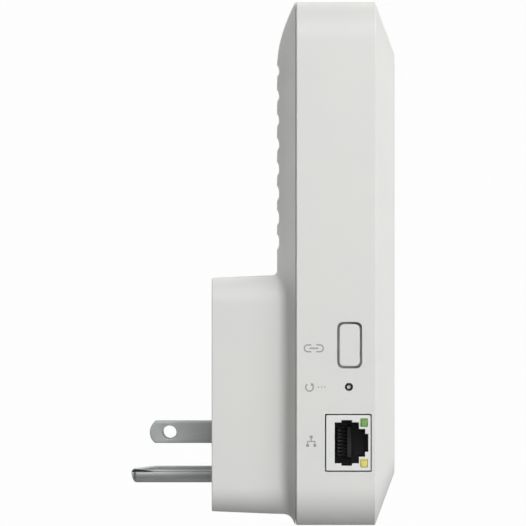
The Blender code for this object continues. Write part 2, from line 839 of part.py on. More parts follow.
def make_switches():
    face = SWITCH_FACE_X - PLUNGER_REACH
    pair = [(face, PLUNGER_RADIUS), (PLUNGER_END_X, PLUNGER_RADIUS)]
    make_side_switch("pair", BUTTON_DEPTH, BUTTON_Z, pair)
    tip_x = SIDE_X + RESET_TIP_SINK
    soft = 0.2 * RESET_TIP_RADIUS
    reset = [
        (tip_x, RESET_TIP_RADIUS - soft),
        (tip_x + soft, RESET_TIP_RADIUS),
        (face, RESET_TIP_RADIUS),
        (face, PLUNGER_RADIUS),
        (PLUNGER_END_X, PLUNGER_RADIUS),
    ]
    make_side_switch("reset", RESET_DEPTH, RESET_Z, reset)


# Network jack


def jack_box(low_x, high_x, depths_and_height):
    """x, depth and z spans of one step of the jack's cavity."""
    low, high, height = depths_and_height
    return ((low_x, high_x), (low, high), span(JACK_Z, height))


def light_spans(side, shrink):
    """Depth and z spans of one of the jack's two light windows."""
    depth = (LIGHT_DEPTHS[0] + shrink, LIGHT_DEPTHS[1] - shrink)
    near = JACK_Z + side * (LIGHT_REACH[0] + shrink)
    far = JACK_Z + side * (LIGHT_REACH[1] - shrink)
    return depth, tuple(sorted((near, far)))


def make_jack():
    """The eight-way jack's moulded housing, its contacts and its two windows."""
    depth = (JACK_OPENING_DEPTHS[0] + JACK_GAP, JACK_OPENING_DEPTHS[1] - JACK_GAP)
    z = span(JACK_Z, JACK_OPENING_HEIGHT - 2 * JACK_GAP)
    housing = block("jack_housing", (JACK_FACE_X, JACK_BACK_X), depth, z, jack_white())
    mouth_x = JACK_FACE_X - WALL
    steps = [
        jack_box(mouth_x, JACK_CAVITY_X, JACK_MAIN),
        jack_box(mouth_x, JACK_FACE_X + JACK_NOTCH_LENGTH, JACK_NOTCH),
        jack_box(mouth_x, JACK_CAVITY_X, JACK_LATCH),
        jack_box(mouth_x, JACK_CAVITY_X, JACK_LATCH_TIP),
    ]
    for index, step in enumerate(steps):
        boolean(housing, block(f"cut_jack_step_{index + 1}", *step))
    pockets = []
    for side in (1, -1):
        depth, z = light_spans(side, 0.0)
        pockets.append(((mouth_x, JACK_FACE_X + LIGHT_LENGTH + GAP), depth, z))
    boolean(housing, blocks("cut_light_pockets", pockets))
    make_jack_light("jack_light_green", 1, window_green())
    make_jack_light("jack_light_yellow", -1, window_yellow())
    for index in range(CONTACTS):
        make_contact(index)


def make_jack_light(name, side, coat):
    depth, z = light_spans(side, LIGHT_GAP)
    block(name, (JACK_FACE_X, JACK_FACE_X + LIGHT_LENGTH), depth, z, coat)


def ribbon_outline(path, thickness):
    """Both sides of a bent strip, from the points along its middle."""
    left, right = [], []
    for index, point in enumerate(path):
        before = path[max(index - 1, 0)]
        after = path[min(index + 1, len(path) - 1)]
        first = (Vector(point) - Vector(before)).normalized()
        second = (Vector(after) - Vector(point)).normalized()
        along = (first + second).normalized()
        across = Vector((-along.y, along.x))
        solid = first if first.length else second
        reach = thickness / 2 / max(0.4, abs(along.dot(solid)))
        left.append(Vector(point) + across * reach)
        right.append(Vector(point) - across * reach)
    return left + right[::-1]


def make_contact(index):
    """One spring contact: a foot along the cavity's floor that folds back up."""
    floor = JACK_MAIN[0] + GAP + CONTACT_THICKNESS / 2
    front = JACK_FACE_X + CONTACT_FRONT
    path = [(JACK_CAVITY_X - CONTACT_FOOT, floor)]
    path += [(front + back, floor + lift) for back, lift in CONTACT_BEND]
    path += [(JACK_CAVITY_X - ahead, floor + lift) for ahead, lift in CONTACT_END]
    middle = (CONTACTS - 1) / 2
    z = span(JACK_Z + (index - middle) * CONTACT_PITCH, CONTACT_WIDTH)
    outline = [(p.x, p.y) for p in ribbon_outline(path, CONTACT_THICKNESS)]
    loft(f"jack_contact_{index + 1}", along_z(outline, *z), contact_gold())


# Boards and what stands on them


def make_main_board():
    low = MIDDLE_Z - HEIGHT / 2 + MAIN_BOARD_INSET_Z
    high = MIDDLE_Z + HEIGHT / 2 - MAIN_BOARD_INSET_Z
    outline = rounded_outline(MAIN_BOARD_HALF_WIDTH, low, high, MAIN_BOARD_RADIUS, 4)
    board = loft("main_board", along_depth(outline, *MAIN_BOARD_DEPTHS), board_green())
    shape = bmesh.new()
    depth = (MAIN_BOARD_DEPTHS[0] - WALL, MAIN_BOARD_DEPTHS[1] + WALL)
    for x, z in boss_places():
        add_loft(shape, along_depth(circle_outline(SCREW_RADIUS + GAP, 16, x, z), *depth))
    boolean(board, finish_mesh("cut_board_holes", shape, None))


def make_board_screws():
    """Pan-head screws through the main board into the bosses."""
    under_head = MAIN_BOARD_DEPTHS[1] + GAP
    profile = [
        (under_head + SCREW_HEAD_STEPS[1], 0.6 * SCREW_HEAD_RADIUS),
        (under_head + SCREW_HEAD_STEPS[0], SCREW_HEAD_RADIUS),
        (under_head, SCREW_HEAD_RADIUS),
        (under_head, SCREW_RADIUS),
        (BACK_DEPTH + 2 * WALL, SCREW_RADIUS),
        (BACK_DEPTH + 1.5 * WALL, 0.3 * SCREW_RADIUS),
    ]
    for index, (x, z) in enumerate(boss_places()):
        rings = []
        for depth, radius in profile:
            outline = circle_outline(radius, 16, x, z)
            rings.append([at(u, depth, v) for u, v in outline])
        loft(f"board_screw_{index + 1}", rings, tinned_steel())


def make_power_board():
    outline = rounded_outline(POWER_BOARD_HALF_WIDTH, *POWER_BOARD_Z, POWER_BOARD_RADIUS, 3)
    depths = POWER_BOARD_DEPTHS
    board = loft("power_board", along_depth(outline, *depths), board_green())
    slots = []
    for x in blade_places().values():
        size = BLADE_THICKNESS + 2 * GAP
        through = (depths[0] - WALL, depths[1] + WALL)
        slots.append((span(x, size), through, span(0.0, TAIL_HEIGHT + 2 * GAP)))
    boolean(board, blocks("cut_tail_slots", slots))


def make_insulating_sheet():
    outline = rounded_outline(SHEET_HALF_WIDTH, *SHEET_Z, SHEET_RADIUS, 3)
    loft("insulating_sheet", along_depth(outline, *SHEET_DEPTHS), insulating_film())


def make_transformer():
    """A ferrite core with two windows, and the coil on its middle leg."""
    floor = POWER_BOARD_DEPTHS[1] + GAP
    low = floor + CORE_LIFT
    depth = (low, low + CORE_THICKNESS)
    middle = sum(CORE_X) / 2
    core = block("transformer_core", CORE_X, depth, CORE_Z, ferrite())
    through = (floor, depth[1] + CORE_LIFT + GAP)
    inner_x = (CORE_X[0] + CORE_LEG, CORE_X[1] - CORE_LEG)
    inner_z = (CORE_Z[0] + CORE_LEG, CORE_Z[1] - CORE_LEG)
    windows = [
        ((inner_x[0], middle - CORE_LEG), through, inner_z),
        ((middle + CORE_LEG, inner_x[1]), through, inner_z),
    ]
    boolean(core, blocks("cut_core_windows", windows))
    coil_x = (inner_x[0] + GAP, inner_x[1] - GAP)
    coil_z = (inner_z[0] + GAP, inner_z[1] - GAP)
    coil_depth = (floor, floor + COIL_THICKNESS)
    coil = block("transformer_coil", coil_x, coil_depth, coil_z, winding_tape())
    leg_x = (middle - CORE_LEG - GAP, middle + CORE_LEG + GAP)
    leg_depth = (depth[0] - GAP, depth[1] + GAP)
    boolean(coil, block("cut_coil_tunnel", leg_x, leg_depth, CORE_Z))


def can_rings(x, z, radius, low, high):
    """An upright round component with softened ends, standing on the board."""
    soft = CAN_SOFTNESS * radius
    steps = [
        (low, radius - soft),
        (low + soft, radius),
        (high - soft, radius),
        (high, radius - soft),
    ]
    rings = []
    for depth, size in steps:
        rings.append([at(u, depth, v) for u, v in circle_outline(size, 20, x, z)])
    return rings


def supply_coats():
    """The finish of each supply part that stands on the power board."""
    return {
        "bulk_capacitor_1": capacitor_sleeve(),
        "bulk_capacitor_2": capacitor_sleeve(),
        "output_capacitor": capacitor_sleeve(),
        "line_choke": ferrite(),
        "line_capacitor": film_box(),
        "bridge_rectifier": switch_black(),
        "power_connector": plunger_white(),
    }


def make_power_parts():
    """The capacitors, choke, fuse and rectifier of the mains supply."""
    floor = POWER_BOARD_DEPTHS[1] + GAP
    coats = supply_coats()
    for name, sizes in ROUND_PARTS.items():
        x, z, radius, height = (value * MM for value in sizes)
        loft(name, can_rings(x, z, radius, floor, floor + height), coats[name])
    for name, (x, z, height) in SQUARE_PARTS.items():
        x_span = (x[0] * MM, x[1] * MM)
        z_span = (z[0] * MM, z[1] * MM)
        block(name, x_span, (floor, floor + height * MM), z_span, coats[name])
    fuse = circle_outline(FUSE_RADIUS, 16, floor + FUSE_RADIUS + GAP, FUSE_Z)
    loft("fuse", along_x(fuse, *FUSE_X), fuse_ceramic())


def make_radio_parts():
    """Shield cans, the pad and finned plate that cool them."""
    inner_x = (CAN_X[0] + CAN_SHEET, CAN_X[1] - CAN_SHEET)
    hollow = (CAN_DEPTHS[0] - WALL, CAN_DEPTHS[1] - CAN_SHEET)
    for name, z in CAN_Z.items():
        can = block(name, CAN_X, CAN_DEPTHS, z, tinned_steel())
        inner_z = (z[0] + CAN_SHEET, z[1] - CAN_SHEET)
        boolean(can, block("cut_" + name, inner_x, hollow, inner_z))
    block("thermal_pad", PAD_X, PAD_DEPTHS, PAD_Z, thermal_pad_grey())
    make_heat_sink(CAN_X, SINK_Z)


def make_heat_sink(x, z):
    """A plate with upright fins, as one profile extruded along Z."""
    base = SINK_DEPTHS[0] + SINK_PLATE
    pitch = (x[1] - x[0]) / (SINK_FINS - 0.5)
    outline = [(x[0], SINK_DEPTHS[0]), (x[1], SINK_DEPTHS[0])]
    for index in reversed(range(SINK_FINS)):
        low = x[0] + index * pitch
        high = low + pitch / 2
        outline += [(high, SINK_DEPTHS[1]), (low, SINK_DEPTHS[1])]
        if index:
            outline += [(low, base), (low - pitch / 2, base)]
    loft("heat_sink", along_z(outline, *z), sink_aluminium())


def make_status_lights():
    """Four light sources and the one clear guide that carries them to the front."""
    width, thickness, height = STATUS_LED
    led_depth = (MAIN_BOARD_DEPTHS[1] + GAP, MAIN_BOARD_DEPTHS[1] + GAP + thickness)
    for index, z in enumerate(STATUS_Z):
        name = f"status_led_{index + 1}"
        block(name, span(STATUS_X, width), led_depth, span(z, height), led_package())
    guide = block(
        "status_light_guide",
        span(STATUS_X, GUIDE_BRIDGE_WIDTH),
        GUIDE_BRIDGE_DEPTHS,
        (STATUS_Z[-1] - GUIDE_MARGIN, STATUS_Z[0] + GUIDE_MARGIN),
        light_guide_clear(),
    )
    shape = bmesh.new()
    low = led_depth[1] + GAP
    for z in STATUS_Z:
        outline = status_outline(z, 0.2 * MM)
        add_loft(shape, along_depth(outline, low, FRONT_DEPTH))
    boolean(guide, finish_mesh("join_guide_legs", shape, None), "UNION")


# Aerials and their leads


def make_antennas():
    """Four flat aerials round the edge of the housing, clear of the board."""
    side = WIDTH / 2 - WALL - ANTENNA_SIDE_CLEARANCE
    top = MIDDLE_Z + HEIGHT / 2 - WALL - ANTENNA_TOP_CLEARANCE
    thick = ANTENNA_THICKNESS
    top_z = (top - thick, top)
    low_x, high_x = ANTENNA_TOP_X
    sizes = {
        "antenna_left": ((-side, thick - side), ANTENNA_DEPTHS, ANTENNA_SIDE_Z),
        "antenna_right": ((side - thick, side), ANTENNA_DEPTHS, ANTENNA_SIDE_Z),
        "antenna_top_left": ((-high_x, -low_x), ANTENNA_DEPTHS, top_z),
        "antenna_top_right": ((low_x, high_x), ANTENNA_DEPTHS, top_z),
    }
    for name, size in sizes.items():
        block(name, *size, board_green())


def smooth_route(points, pieces=6):
    """Points along a smooth curve through hand-chosen points."""
    route = []
    ends = [points[0]] + points + [points[-1]]
    for index in range(1, len(ends) - 2):
        p0, p1, p2, p3 = (Vector(p) for p in ends[index - 1 : index + 3])
        for step in range(pieces):
            t = step / pieces
            a = 2 * p1 + (p2 - p0) * t
            b = (2 * p0 - 5 * p1 + 4 * p2 - p3) * t**2
            c = (3 * p1 - p0 - 3 * p2 + p3) * t**3
            route.append((a + b + c) / 2)
    route.append(Vector(points[-1]))
    return route


def make_lead(name, points, radius, coat):
    """A thin insulated lead along a smooth route through (x, depth, z) in mm."""
    places = [at(x * MM, depth * MM, z * MM) for x, depth, z in points]
    route = smooth_route(places)
    curve = bpy.data.curves.new(name, "CURVE")
    curve.dimensions = "3D"
    curve.bevel_depth = radius
    curve.bevel_resolution = 1
    curve.use_fill_caps = True
    spline = curve.splines.new("POLY")
    spline.points.add(len(route) - 1)
    for point, place in zip(spline.points, route):
        point.co = (*place, 1.0)
    curve.materials.append(coat)
    made = bpy.data.objects.new(name, curve)
    bpy.context.scene.collection.objects.link(made)


def make_leads():
    """The aerials' coaxial leads and the supply's lead to the main board."""
    for name, points in ANTENNA_ROUTES.items():
        make_lead(name, points, COAX_RADIUS, lead_black())
    make_lead("power_lead", SUPPLY_ROUTE, SUPPLY_LEAD_RADIUS, lead_black())


def clear_scene():
    for item in list(bpy.data.objects):
        bpy.data.objects.remove(item, do_unlink=True)


def main():
    clear_scene()
    make_front_cover()
    make_back_cover()
    make_line_blades()
    make_ground_pin()
    make_blade_carrier()
    make_pair_button()
    make_switches()
    make_jack()
    make_main_board()
    make_board_screws()
    make_power_board()
    make_insulating_sheet()
    make_transformer()
    make_power_parts()
    make_radio_parts()
    make_status_lights()
    make_antennas()
    make_leads()


main()
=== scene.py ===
"""Looks of the plug-in wireless range extender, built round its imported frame.

The origin is on the wall face of the plug box, midway between the line blades.
+Z is up, +Y points into the wall, the room side faces -Y, and the controls and
the network jack are on the -X side. A depth is a distance from the wall face
towards the room, so y = -depth. Outlines on the side face are (depth, z) and
outlines on the front and the back are (x, z).
"""

import json
import math
import bmesh
import bpy
import numpy as np
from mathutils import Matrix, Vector
from mathutils.geometry import tessellate_polygon


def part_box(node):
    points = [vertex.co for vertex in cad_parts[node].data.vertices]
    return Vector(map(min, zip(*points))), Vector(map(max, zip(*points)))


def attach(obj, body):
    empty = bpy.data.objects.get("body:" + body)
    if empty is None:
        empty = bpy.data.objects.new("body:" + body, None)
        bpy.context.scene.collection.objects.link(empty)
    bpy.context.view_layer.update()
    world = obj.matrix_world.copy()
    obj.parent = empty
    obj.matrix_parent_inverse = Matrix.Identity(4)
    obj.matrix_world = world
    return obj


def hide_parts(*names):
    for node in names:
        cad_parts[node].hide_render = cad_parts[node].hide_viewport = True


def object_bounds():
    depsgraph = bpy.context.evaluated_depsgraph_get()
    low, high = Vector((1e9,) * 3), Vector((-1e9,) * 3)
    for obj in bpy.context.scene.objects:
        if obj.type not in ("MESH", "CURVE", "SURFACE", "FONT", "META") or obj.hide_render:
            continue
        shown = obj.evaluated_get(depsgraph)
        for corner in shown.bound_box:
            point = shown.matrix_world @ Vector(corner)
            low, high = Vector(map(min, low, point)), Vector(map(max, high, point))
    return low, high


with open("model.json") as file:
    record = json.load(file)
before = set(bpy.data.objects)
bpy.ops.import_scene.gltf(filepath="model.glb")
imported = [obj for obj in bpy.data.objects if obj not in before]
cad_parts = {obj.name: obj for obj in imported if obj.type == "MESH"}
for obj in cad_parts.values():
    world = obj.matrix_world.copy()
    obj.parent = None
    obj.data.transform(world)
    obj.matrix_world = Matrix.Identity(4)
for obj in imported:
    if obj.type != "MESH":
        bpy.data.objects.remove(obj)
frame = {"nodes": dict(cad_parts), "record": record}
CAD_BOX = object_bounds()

MM = 0.001
BODY = "extender"

# Housing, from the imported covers
COVER_LOW, COVER_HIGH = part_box("front_cover")
HALF_WIDTH = COVER_HIGH.x
HALF_HEIGHT = (COVER_HIGH.z - COVER_LOW.z) / 2
MIDDLE_Z = (COVER_HIGH.z + COVER_LOW.z) / 2
FRONT_DEPTH = -COVER_LOW.y
RIM_DEPTH = -COVER_HIGH.y
CORNER_RADIUS = 11.5 * MM
WALL = 2.2 * MM
SEAM_GAP = 0.2 * MM

# The print stands this far proud, so the covers are this much smaller all round
INK = 0.03 * MM

FACET_DEPTH = FRONT_DEPTH - 5.9 * MM
FACET_INSET = 15.0 * MM
FRONT_RADIUS = 5.0 * MM
RIM_ROUND = 0.35 * MM
FACET_ROUND = 0.35 * MM
FRONT_ROUND = 2.5 * MM

# Back cover
BACK_RIM_DEPTH = RIM_DEPTH - SEAM_GAP
FLAT_DEPTH = 19.3 * MM
BACK_INSET = 17.0 * MM
BACK_RADIUS = 8.0 * MM
BACK_EASE = 1.7
BACK_THICKNESS = 2.0 * MM
RIM_PULL = 2.9 * MM
RIM_PULL_RUN = 6.0 * MM
LIP_INSETS = (2.5 * MM, 3.7 * MM)
LIP_DEPTH = 27.5 * MM
GROOVES = 8
GROOVE_TOP_Z = 108.0 * MM
GROOVE_PITCH = 7.3 * MM
GROOVE_HALF = 2.4 * MM
GROOVE_CUT = 0.62 * MM
GROOVE_FADE = 0.75 * MM
SLOT_HALF_HEIGHT = 0.5 * MM
SLOT_EDGES = ((-18.0, -8.0), (-5.0, 5.0), (8.0, 18.0))
JOIN_Z = 53.0 * MM
LOW_CORNER_Z = MIDDLE_Z - HALF_HEIGHT + CORNER_RADIUS
NUDGE_DEGREES = 1e-6

# Plug box
BOX_MIDDLE_Z = 11.7 * MM
BOX_HALF = (34.0 * MM, 35.1 * MM)
BOX_RADIUS = 8.0 * MM
BOX_TAPER = 0.8 * MM
BOX_EDGE = 0.3 * MM
BOX_CORNER_X = BOX_HALF[0] - BOX_RADIUS
BOX_CORNER_TOP = BOX_MIDDLE_Z + BOX_HALF[1] - BOX_RADIUS
BOX_CORNER_LOW = BOX_MIDDLE_Z - BOX_HALF[1] + BOX_RADIUS
FILLET_ALONG = {"side": 2.3 * MM, "top": 1.6 * MM, "bottom": 2.4 * MM}
FILLET_OUT = {"side": 2.2 * MM, "top": 1.6 * MM, "bottom": 2.4 * MM}

# Controls
BUTTON_AT = (40.3 * MM, 26.5 * MM)
BUTTON_HALF = (3.65 * MM, 6.8 * MM)
BUTTON_RADIUS = 1.8 * MM
BUTTON_GAP = 0.68 * MM
BUTTON_EDGE = 0.22 * MM
BUTTON_FLANGE_SINK = 1.1 * MM
BUTTON_FLANGE = 1.75 * MM
BUTTON_FLANGE_THICK = 0.8 * MM
BUTTON_STEM_INSET = 1.2 * MM
OPENING_LIP = 0.06 * MM
RESET_AT = (40.1 * MM, 14.3 * MM)
RESET_RADIUS = 1.175 * MM
RESET_LIP = 0.1 * MM
RESET_TIP_RADIUS = 0.6 * MM
RESET_DOME = 0.35 * MM
RESET_BASE_RADIUS = 1.5 * MM
RESET_BASE_HEIGHT = 3.1 * MM

# Network jack
JACK_LOW, JACK_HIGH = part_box("jack_housing")
JACK_Z = (JACK_LOW.z + JACK_HIGH.z) / 2
JACK_GAP = 0.35 * MM
JACK_PLATE = 1.2 * MM
JACK_EDGE = 0.15 * MM
LIGHT_GAP = 0.08 * MM
LIGHT_POCKET = 8.0 * MM
CAVITY_END_X = -26.0 * MM
CONTACTS = 8
CONTACT_PITCH = 1.02 * MM
COMB_SINK = 0.05 * MM

# Prongs
BLADES = ("line_blade_live", "line_blade_neutral")
BLADE_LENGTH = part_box("line_blade_live")[1].y
BLADE_HALF = 3.175 * MM
BLADE_TIP_RADIUS = 4.0 * MM
BLADE_COIN = 0.22 * MM
BLADE_HOLE_AT = 12.8 * MM
BLADE_HOLE_RADIUS = 2.05 * MM
PRONG_ROOT = -8.0 * MM
BLADE_TAIL = -13.5 * MM
BLADE_TAIL_HALF = 1.5 * MM
PRONG_GAP = 0.3 * MM
PIN_LOW, PIN_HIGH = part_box("ground_pin")
PIN_RADIUS = (PIN_HIGH.x - PIN_LOW.x) / 2
PIN_Z = PIN_LOW.z + PIN_RADIUS
PIN_LENGTH = PIN_HIGH.y
PIN_SHEET = 0.75 * MM
PIN_SHEET_RADIUS = PIN_RADIUS - PIN_SHEET / 2
PIN_LIP_LOW = math.radians(165.0)
PIN_LIP_HIGH = math.radians(157.5 + 360.0)
PIN_TIP_END = math.radians(122.0 + 360.0)
PIN_OPENING_RUN = 7.5 * MM
PIN_DECK_RUN = 8.0 * MM
PIN_DECK_FALL = 0.35
PIN_NOSE = 1.5 * MM
PIN_NOSE_LEAST = 0.3
PIN_SEAM_RISE = 0.6 * MM

# Pictograms on the side face, as (depth, z) of their middles
LINK_AT = (29.85 * MM, 25.6 * MM)
TURN_AT = (28.6 * MM, 14.2 * MM)
NETWORK_AT = (29.1 * MM, -1.5 * MM)

# Camera, surround and floor
CAMERA_DISTANCE = 1.5
CAMERA_DEPTH = 15.04 * MM
EYE_LIFT = 0.17 * MM
LENS = 352.1
SEEN_WHITE = 0.985
AMBIENT = 0.02
FLOOR_RADIUS = 1.6
FLOOR_DROP = 0.9

# Soft light panels: direction from the housing, distance, side and power
LIGHTING = {
    "left": ((-1.0, -0.25, 0.42), 1.4, 1.3, 3.6),
    "head_on": ((-1.0, 0.0, -0.05), 1.6, 1.5, 2.6),
    "left_high": ((-0.9, -0.1, 0.65), 1.4, 1.2, 6.9),
    "front_left": ((-0.81, -0.68, 0.36), 1.3, 1.1, 9.3),
    "front_right": ((0.45, -0.9, 0.1), 1.4, 1.0, 7.9),
    "over": ((0.25, 0.05, 1.0), 1.2, 2.2, 1.0),
    "behind": ((0.5, 0.86, 0.1), 1.4, 1.0, 6.6),
    "far_high": ((0.6, 0.0, 0.8), 1.3, 0.8, 5.5),
    "far": ((1.0, 0.0, 0.3), 1.4, 1.2, 5.0),
}

# Status windows on the front
STATUS_X = -17.0 * MM
STATUS_Z = (66.0 * MM, 56.0 * MM, 46.0 * MM, 36.0 * MM)
STATUS_HALF = (2.2 * MM, 0.8 * MM)


# Outlines


def rounded(half_u, half_v, radius, centre=(0.0, 0.0), steps=8):
    """A rectangle with round corners, anticlockwise."""
    corners = ((1, 1, 0), (-1, 1, 90), (-1, -1, 180), (1, -1, 270))
    points = []
    for side_u, side_v, start in corners:
        for step in range(steps + 1):
            angle = math.radians(start + 90 * step / steps)
            u = side_u * (half_u - radius) + radius * math.cos(angle)
            v = side_v * (half_v - radius) + radius * math.sin(angle)
            points.append((centre[0] + u, centre[1] + v))
    return np.array(points)


def circle(radius, centre=(0.0, 0.0), sides=40):
    angles = 2 * math.pi * np.arange(sides) / sides
    return np.stack([centre[0] + radius * np.cos(angles), centre[1] + radius * np.sin(angles)], 1)


def node_outline(name, gap, radius, steps=3):
    """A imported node's outline on the side face, grown by a gap."""
    low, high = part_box(name)
    centre = (-(low.y + high.y) / 2, (low.z + high.z) / 2)
    return rounded((high.y - low.y) / 2 + gap, (high.z - low.z) / 2 + gap, radius, centre, steps)


def grown(outline, distance):
    """An anticlockwise outline moved outwards, with its corners kept."""
    ahead = np.roll(outline, -1, 0) - outline
    ahead /= np.linalg.norm(ahead, axis=1)[:, None]
    normal = np.stack([ahead[:, 1], -ahead[:, 0]], 1)
    before = np.roll(normal, 1, 0)
    both = (normal + before) / (1 + (normal * before).sum(1))[:, None]
    return outline + both * distance


def round_over(radius, steps=4):
    """(distance in, growth) of a rounded rim, from the face into an opening."""
    angles = [math.pi / 2 * step / steps for step in range(steps + 1)]
    return [(radius * (1 - math.cos(a)), radius * (1 - math.sin(a))) for a in angles]


class Shape:
    """Points and faces of one piece."""

    def __init__(self):
        self.points = []
        self.faces = []

    def ring(self, points):
        start = len(self.points)
        self.points.extend(tuple(float(value) for value in point) for point in points)
        return list(range(start, len(self.points)))

    def skin(self, rows, closed=True, skip=()):
        """Quads between neighbouring rows of equal length."""
        for row, after in zip(rows, rows[1:]):
            for i in range(len(row) if closed else len(row) - 1):
                if i not in skip:
                    j = (i + 1) % len(row)
                    self.faces.append((row[i], row[j], after[j], after[i]))

    def fill(self, *loops):
        """A flat face inside the first loop that leaves the other loops open."""
        numbers = [n for loop in loops for n in loop]
        outlines = [[Vector(self.points[n]) for n in loop] for loop in loops]
        for triangle in tessellate_polygon(outlines):
            self.faces.append(tuple(numbers[n] for n in triangle))

    def opening(self, outline, place, stations):
        """A tube through a wall, as rings at (distance in, growth)."""
        rows = []
        for inward, growth in stations:
            rows.append(self.ring([place(inward, u, v) for u, v in grown(outline, growth)]))
        self.skin(rows)
        return rows[0], rows[-1]

    def solid(self, outline, place, stations):
        """A closed solid, as rings at (distance in, growth)."""
        first, last = self.opening(outline, place, stations)
        self.fill(first)
        self.fill(last)

    def piece(self, name, slot, nodes=(), body=BODY, sharp=50.0):
        """Makes the object, gives it its finish and its place in the frame."""
        mesh = bpy.data.meshes.new(name)
        mesh.from_pydata(self.points, [], self.faces)
        shape = bmesh.new()
        shape.from_mesh(mesh)
        bmesh.ops.recalc_face_normals(shape, faces=shape.faces[:])
        shape.to_mesh(mesh)
        shape.free()
        mesh.shade_smooth()
        mesh.set_sharp_from_angle(angle=math.radians(sharp))
        made = bpy.data.objects.new(name, mesh)
        bpy.context.scene.collection.objects.link(made)
        mesh.materials.append(finish(slot))
        even = made.modifiers.new("even_shading", "WEIGHTED_NORMAL")
        even.keep_sharp = True
        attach(made, body)
        if nodes:
            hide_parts(*nodes)
        return made


def on_side(face_x):
    """Places (distance in, depth, z) behind the side face at face_x."""
    return lambda inward, u, v: (face_x + inward, -u, v)


def on_front(inward, u, v):
    return (u, inward - FRONT_DEPTH, v)


def on_back(inward, u, v):
    return (u, -inward, v)


# Front cover

FRAME_STEPS = {"across": 8, "up": 20, "corner": 14}
LEFT_START = 2 * (FRAME_STEPS["corner"] + 1) + FRAME_STEPS["across"] - 2
LEFT_END = LEFT_START + FRAME_STEPS["up"]
SIDE_RING = 4


def frame_outline(inset, radius):
    """The housing's outline with its straight sides divided."""
    half_x = HALF_WIDTH - INK - inset
    half_z = HALF_HEIGHT - INK - inset
    corners = rounded(half_x, half_z, radius, (0.0, MIDDLE_Z), FRAME_STEPS["corner"])
    corners = corners.reshape(4, -1, 2)
    points = []
    for index, steps in enumerate(("across", "up", "across", "up")):
        points.extend(corners[index])
        end, start = corners[index][-1], corners[(index + 1) % 4][0]
        count = FRAME_STEPS[steps]
        points.extend(end + (start - end) * step / count for step in range(1, count))
    return points


def bend(before, corner, after, radius, steps):
    """Points of a fillet between two straight runs of a profile."""
    before, corner, after = (np.array(p) for p in (before, corner, after))
    back = (before - corner) / np.linalg.norm(before - corner)
    ahead = (after - corner) / np.linalg.norm(after - corner)
    half = math.acos(float(back @ ahead)) / 2
    reach = radius / math.tan(half)
    middle = corner + (back + ahead) / np.linalg.norm(back + ahead) * radius / math.sin(half)
    start, end = corner + back * reach - middle, corner + ahead * reach - middle
    turn = math.acos(float(start @ end) / radius**2)
    points = []
    for step in range(steps + 1):
        share = step / steps
        a = math.sin((1 - share) * turn) / math.sin(turn)
        b = math.sin(share * turn) / math.sin(turn)
        points.append(tuple(middle + start * a + end * b))
    return points


def front_profile():
    """(depth, inset) of the front cover's outside, from its rim to its front."""
    inner_rim = (RIM_DEPTH, WALL)
    rim = (RIM_DEPTH, 0.0)
    edge = (FACET_DEPTH, 0.0)
    crest = (FRONT_DEPTH, FACET_INSET)
    middle = (FRONT_DEPTH, FACET_INSET + 2 * WALL)
    return (
        bend(inner_rim, rim, edge, RIM_ROUND, SIDE_RING)
        + bend(rim, edge, crest, FACET_ROUND, 6)
        + bend(edge, crest, middle, FRONT_ROUND, 5)
    )


def outline_radius(inset):
    share = min(1.0, inset / FACET_INSET)
    return CORNER_RADIUS + (FRONT_RADIUS - CORNER_RADIUS) * share - INK


def front_rings(shape):
    """The front cover's rings from rim to front, outside and inside."""
    slope = math.atan2(FRONT_DEPTH - FACET_DEPTH, FACET_INSET)
    inner_inset = FACET_INSET + WALL * math.tan(slope / 2)
    inner_facet = FACET_DEPTH - WALL * math.tan((math.pi / 2 - slope) / 2)

    def ring(depth, inset, radius):
        return shape.ring([(x, -depth, z) for x, z in frame_outline(inset, radius)])

    outer = [ring(depth, inset, outline_radius(inset)) for depth, inset in front_profile()]
    inner = [
        ring(RIM_DEPTH, WALL, CORNER_RADIUS - WALL),
        ring(inner_facet, WALL, CORNER_RADIUS - WALL),
        ring(FRONT_DEPTH - WALL, inner_inset, FRONT_RADIUS),
    ]
    return outer, inner


def fill_side(shape, low, high, holes):
    """The flat control side between two rings, with its holes left open."""
    span = slice(LEFT_START, LEFT_END + 1)
    shape.fill(low[span] + high[span][::-1], *holes)


def make_front_cover():
    """Side walls, four sloping facets and the front, as one thick shell."""
    shape = Shape()
    outer, inner = front_rings(shape)
    left = range(LEFT_START, LEFT_END)
    shape.skin(outer[: SIDE_RING + 1])
    shape.skin(outer[SIDE_RING : SIDE_RING + 2], skip=left)
    shape.skin(outer[SIDE_RING + 1 :])
    shape.skin(inner[:2], skip=left)
    shape.skin(inner[1:])
    shape.skin([outer[0], inner[0]])
    side_loops = [side_opening(shape, outline, lip) for outline, lip in side_outlines()]
    window_loops = [window_opening(shape, z) for z in STATUS_Z]
    fill_side(shape, *outer[SIDE_RING : SIDE_RING + 2], [first for first, _ in side_loops])
    fill_side(shape, *inner[:2], [last for _, last in side_loops])
    shape.fill(outer[-1], *[first for first, _ in window_loops])
    shape.fill(inner[-1], *[last for _, last in window_loops])
    shape.piece("front_shell", "housing_white", ["front_cover"])


def side_outlines():
    """The three openings in the side wall, and how far each rim is rounded."""
    return (
        (rounded(*BUTTON_HALF, BUTTON_RADIUS, BUTTON_AT), OPENING_LIP),
        (circle(RESET_RADIUS, RESET_AT), RESET_LIP),
        (node_outline("jack_housing", JACK_GAP, JACK_GAP, 4), OPENING_LIP),
    )


def side_opening(shape, outline, lip):
    stations = round_over(lip) + [(WALL, 0.0)]
    return shape.opening(outline, on_side(INK - HALF_WIDTH), stations)


def window_opening(shape, z):
    outline = rounded(*STATUS_HALF, 0.98 * STATUS_HALF[1], (STATUS_X, z), 6)
    return shape.opening(outline, on_front, round_over(0.1 * MM) + [(WALL, 0.0)])


# Back cover


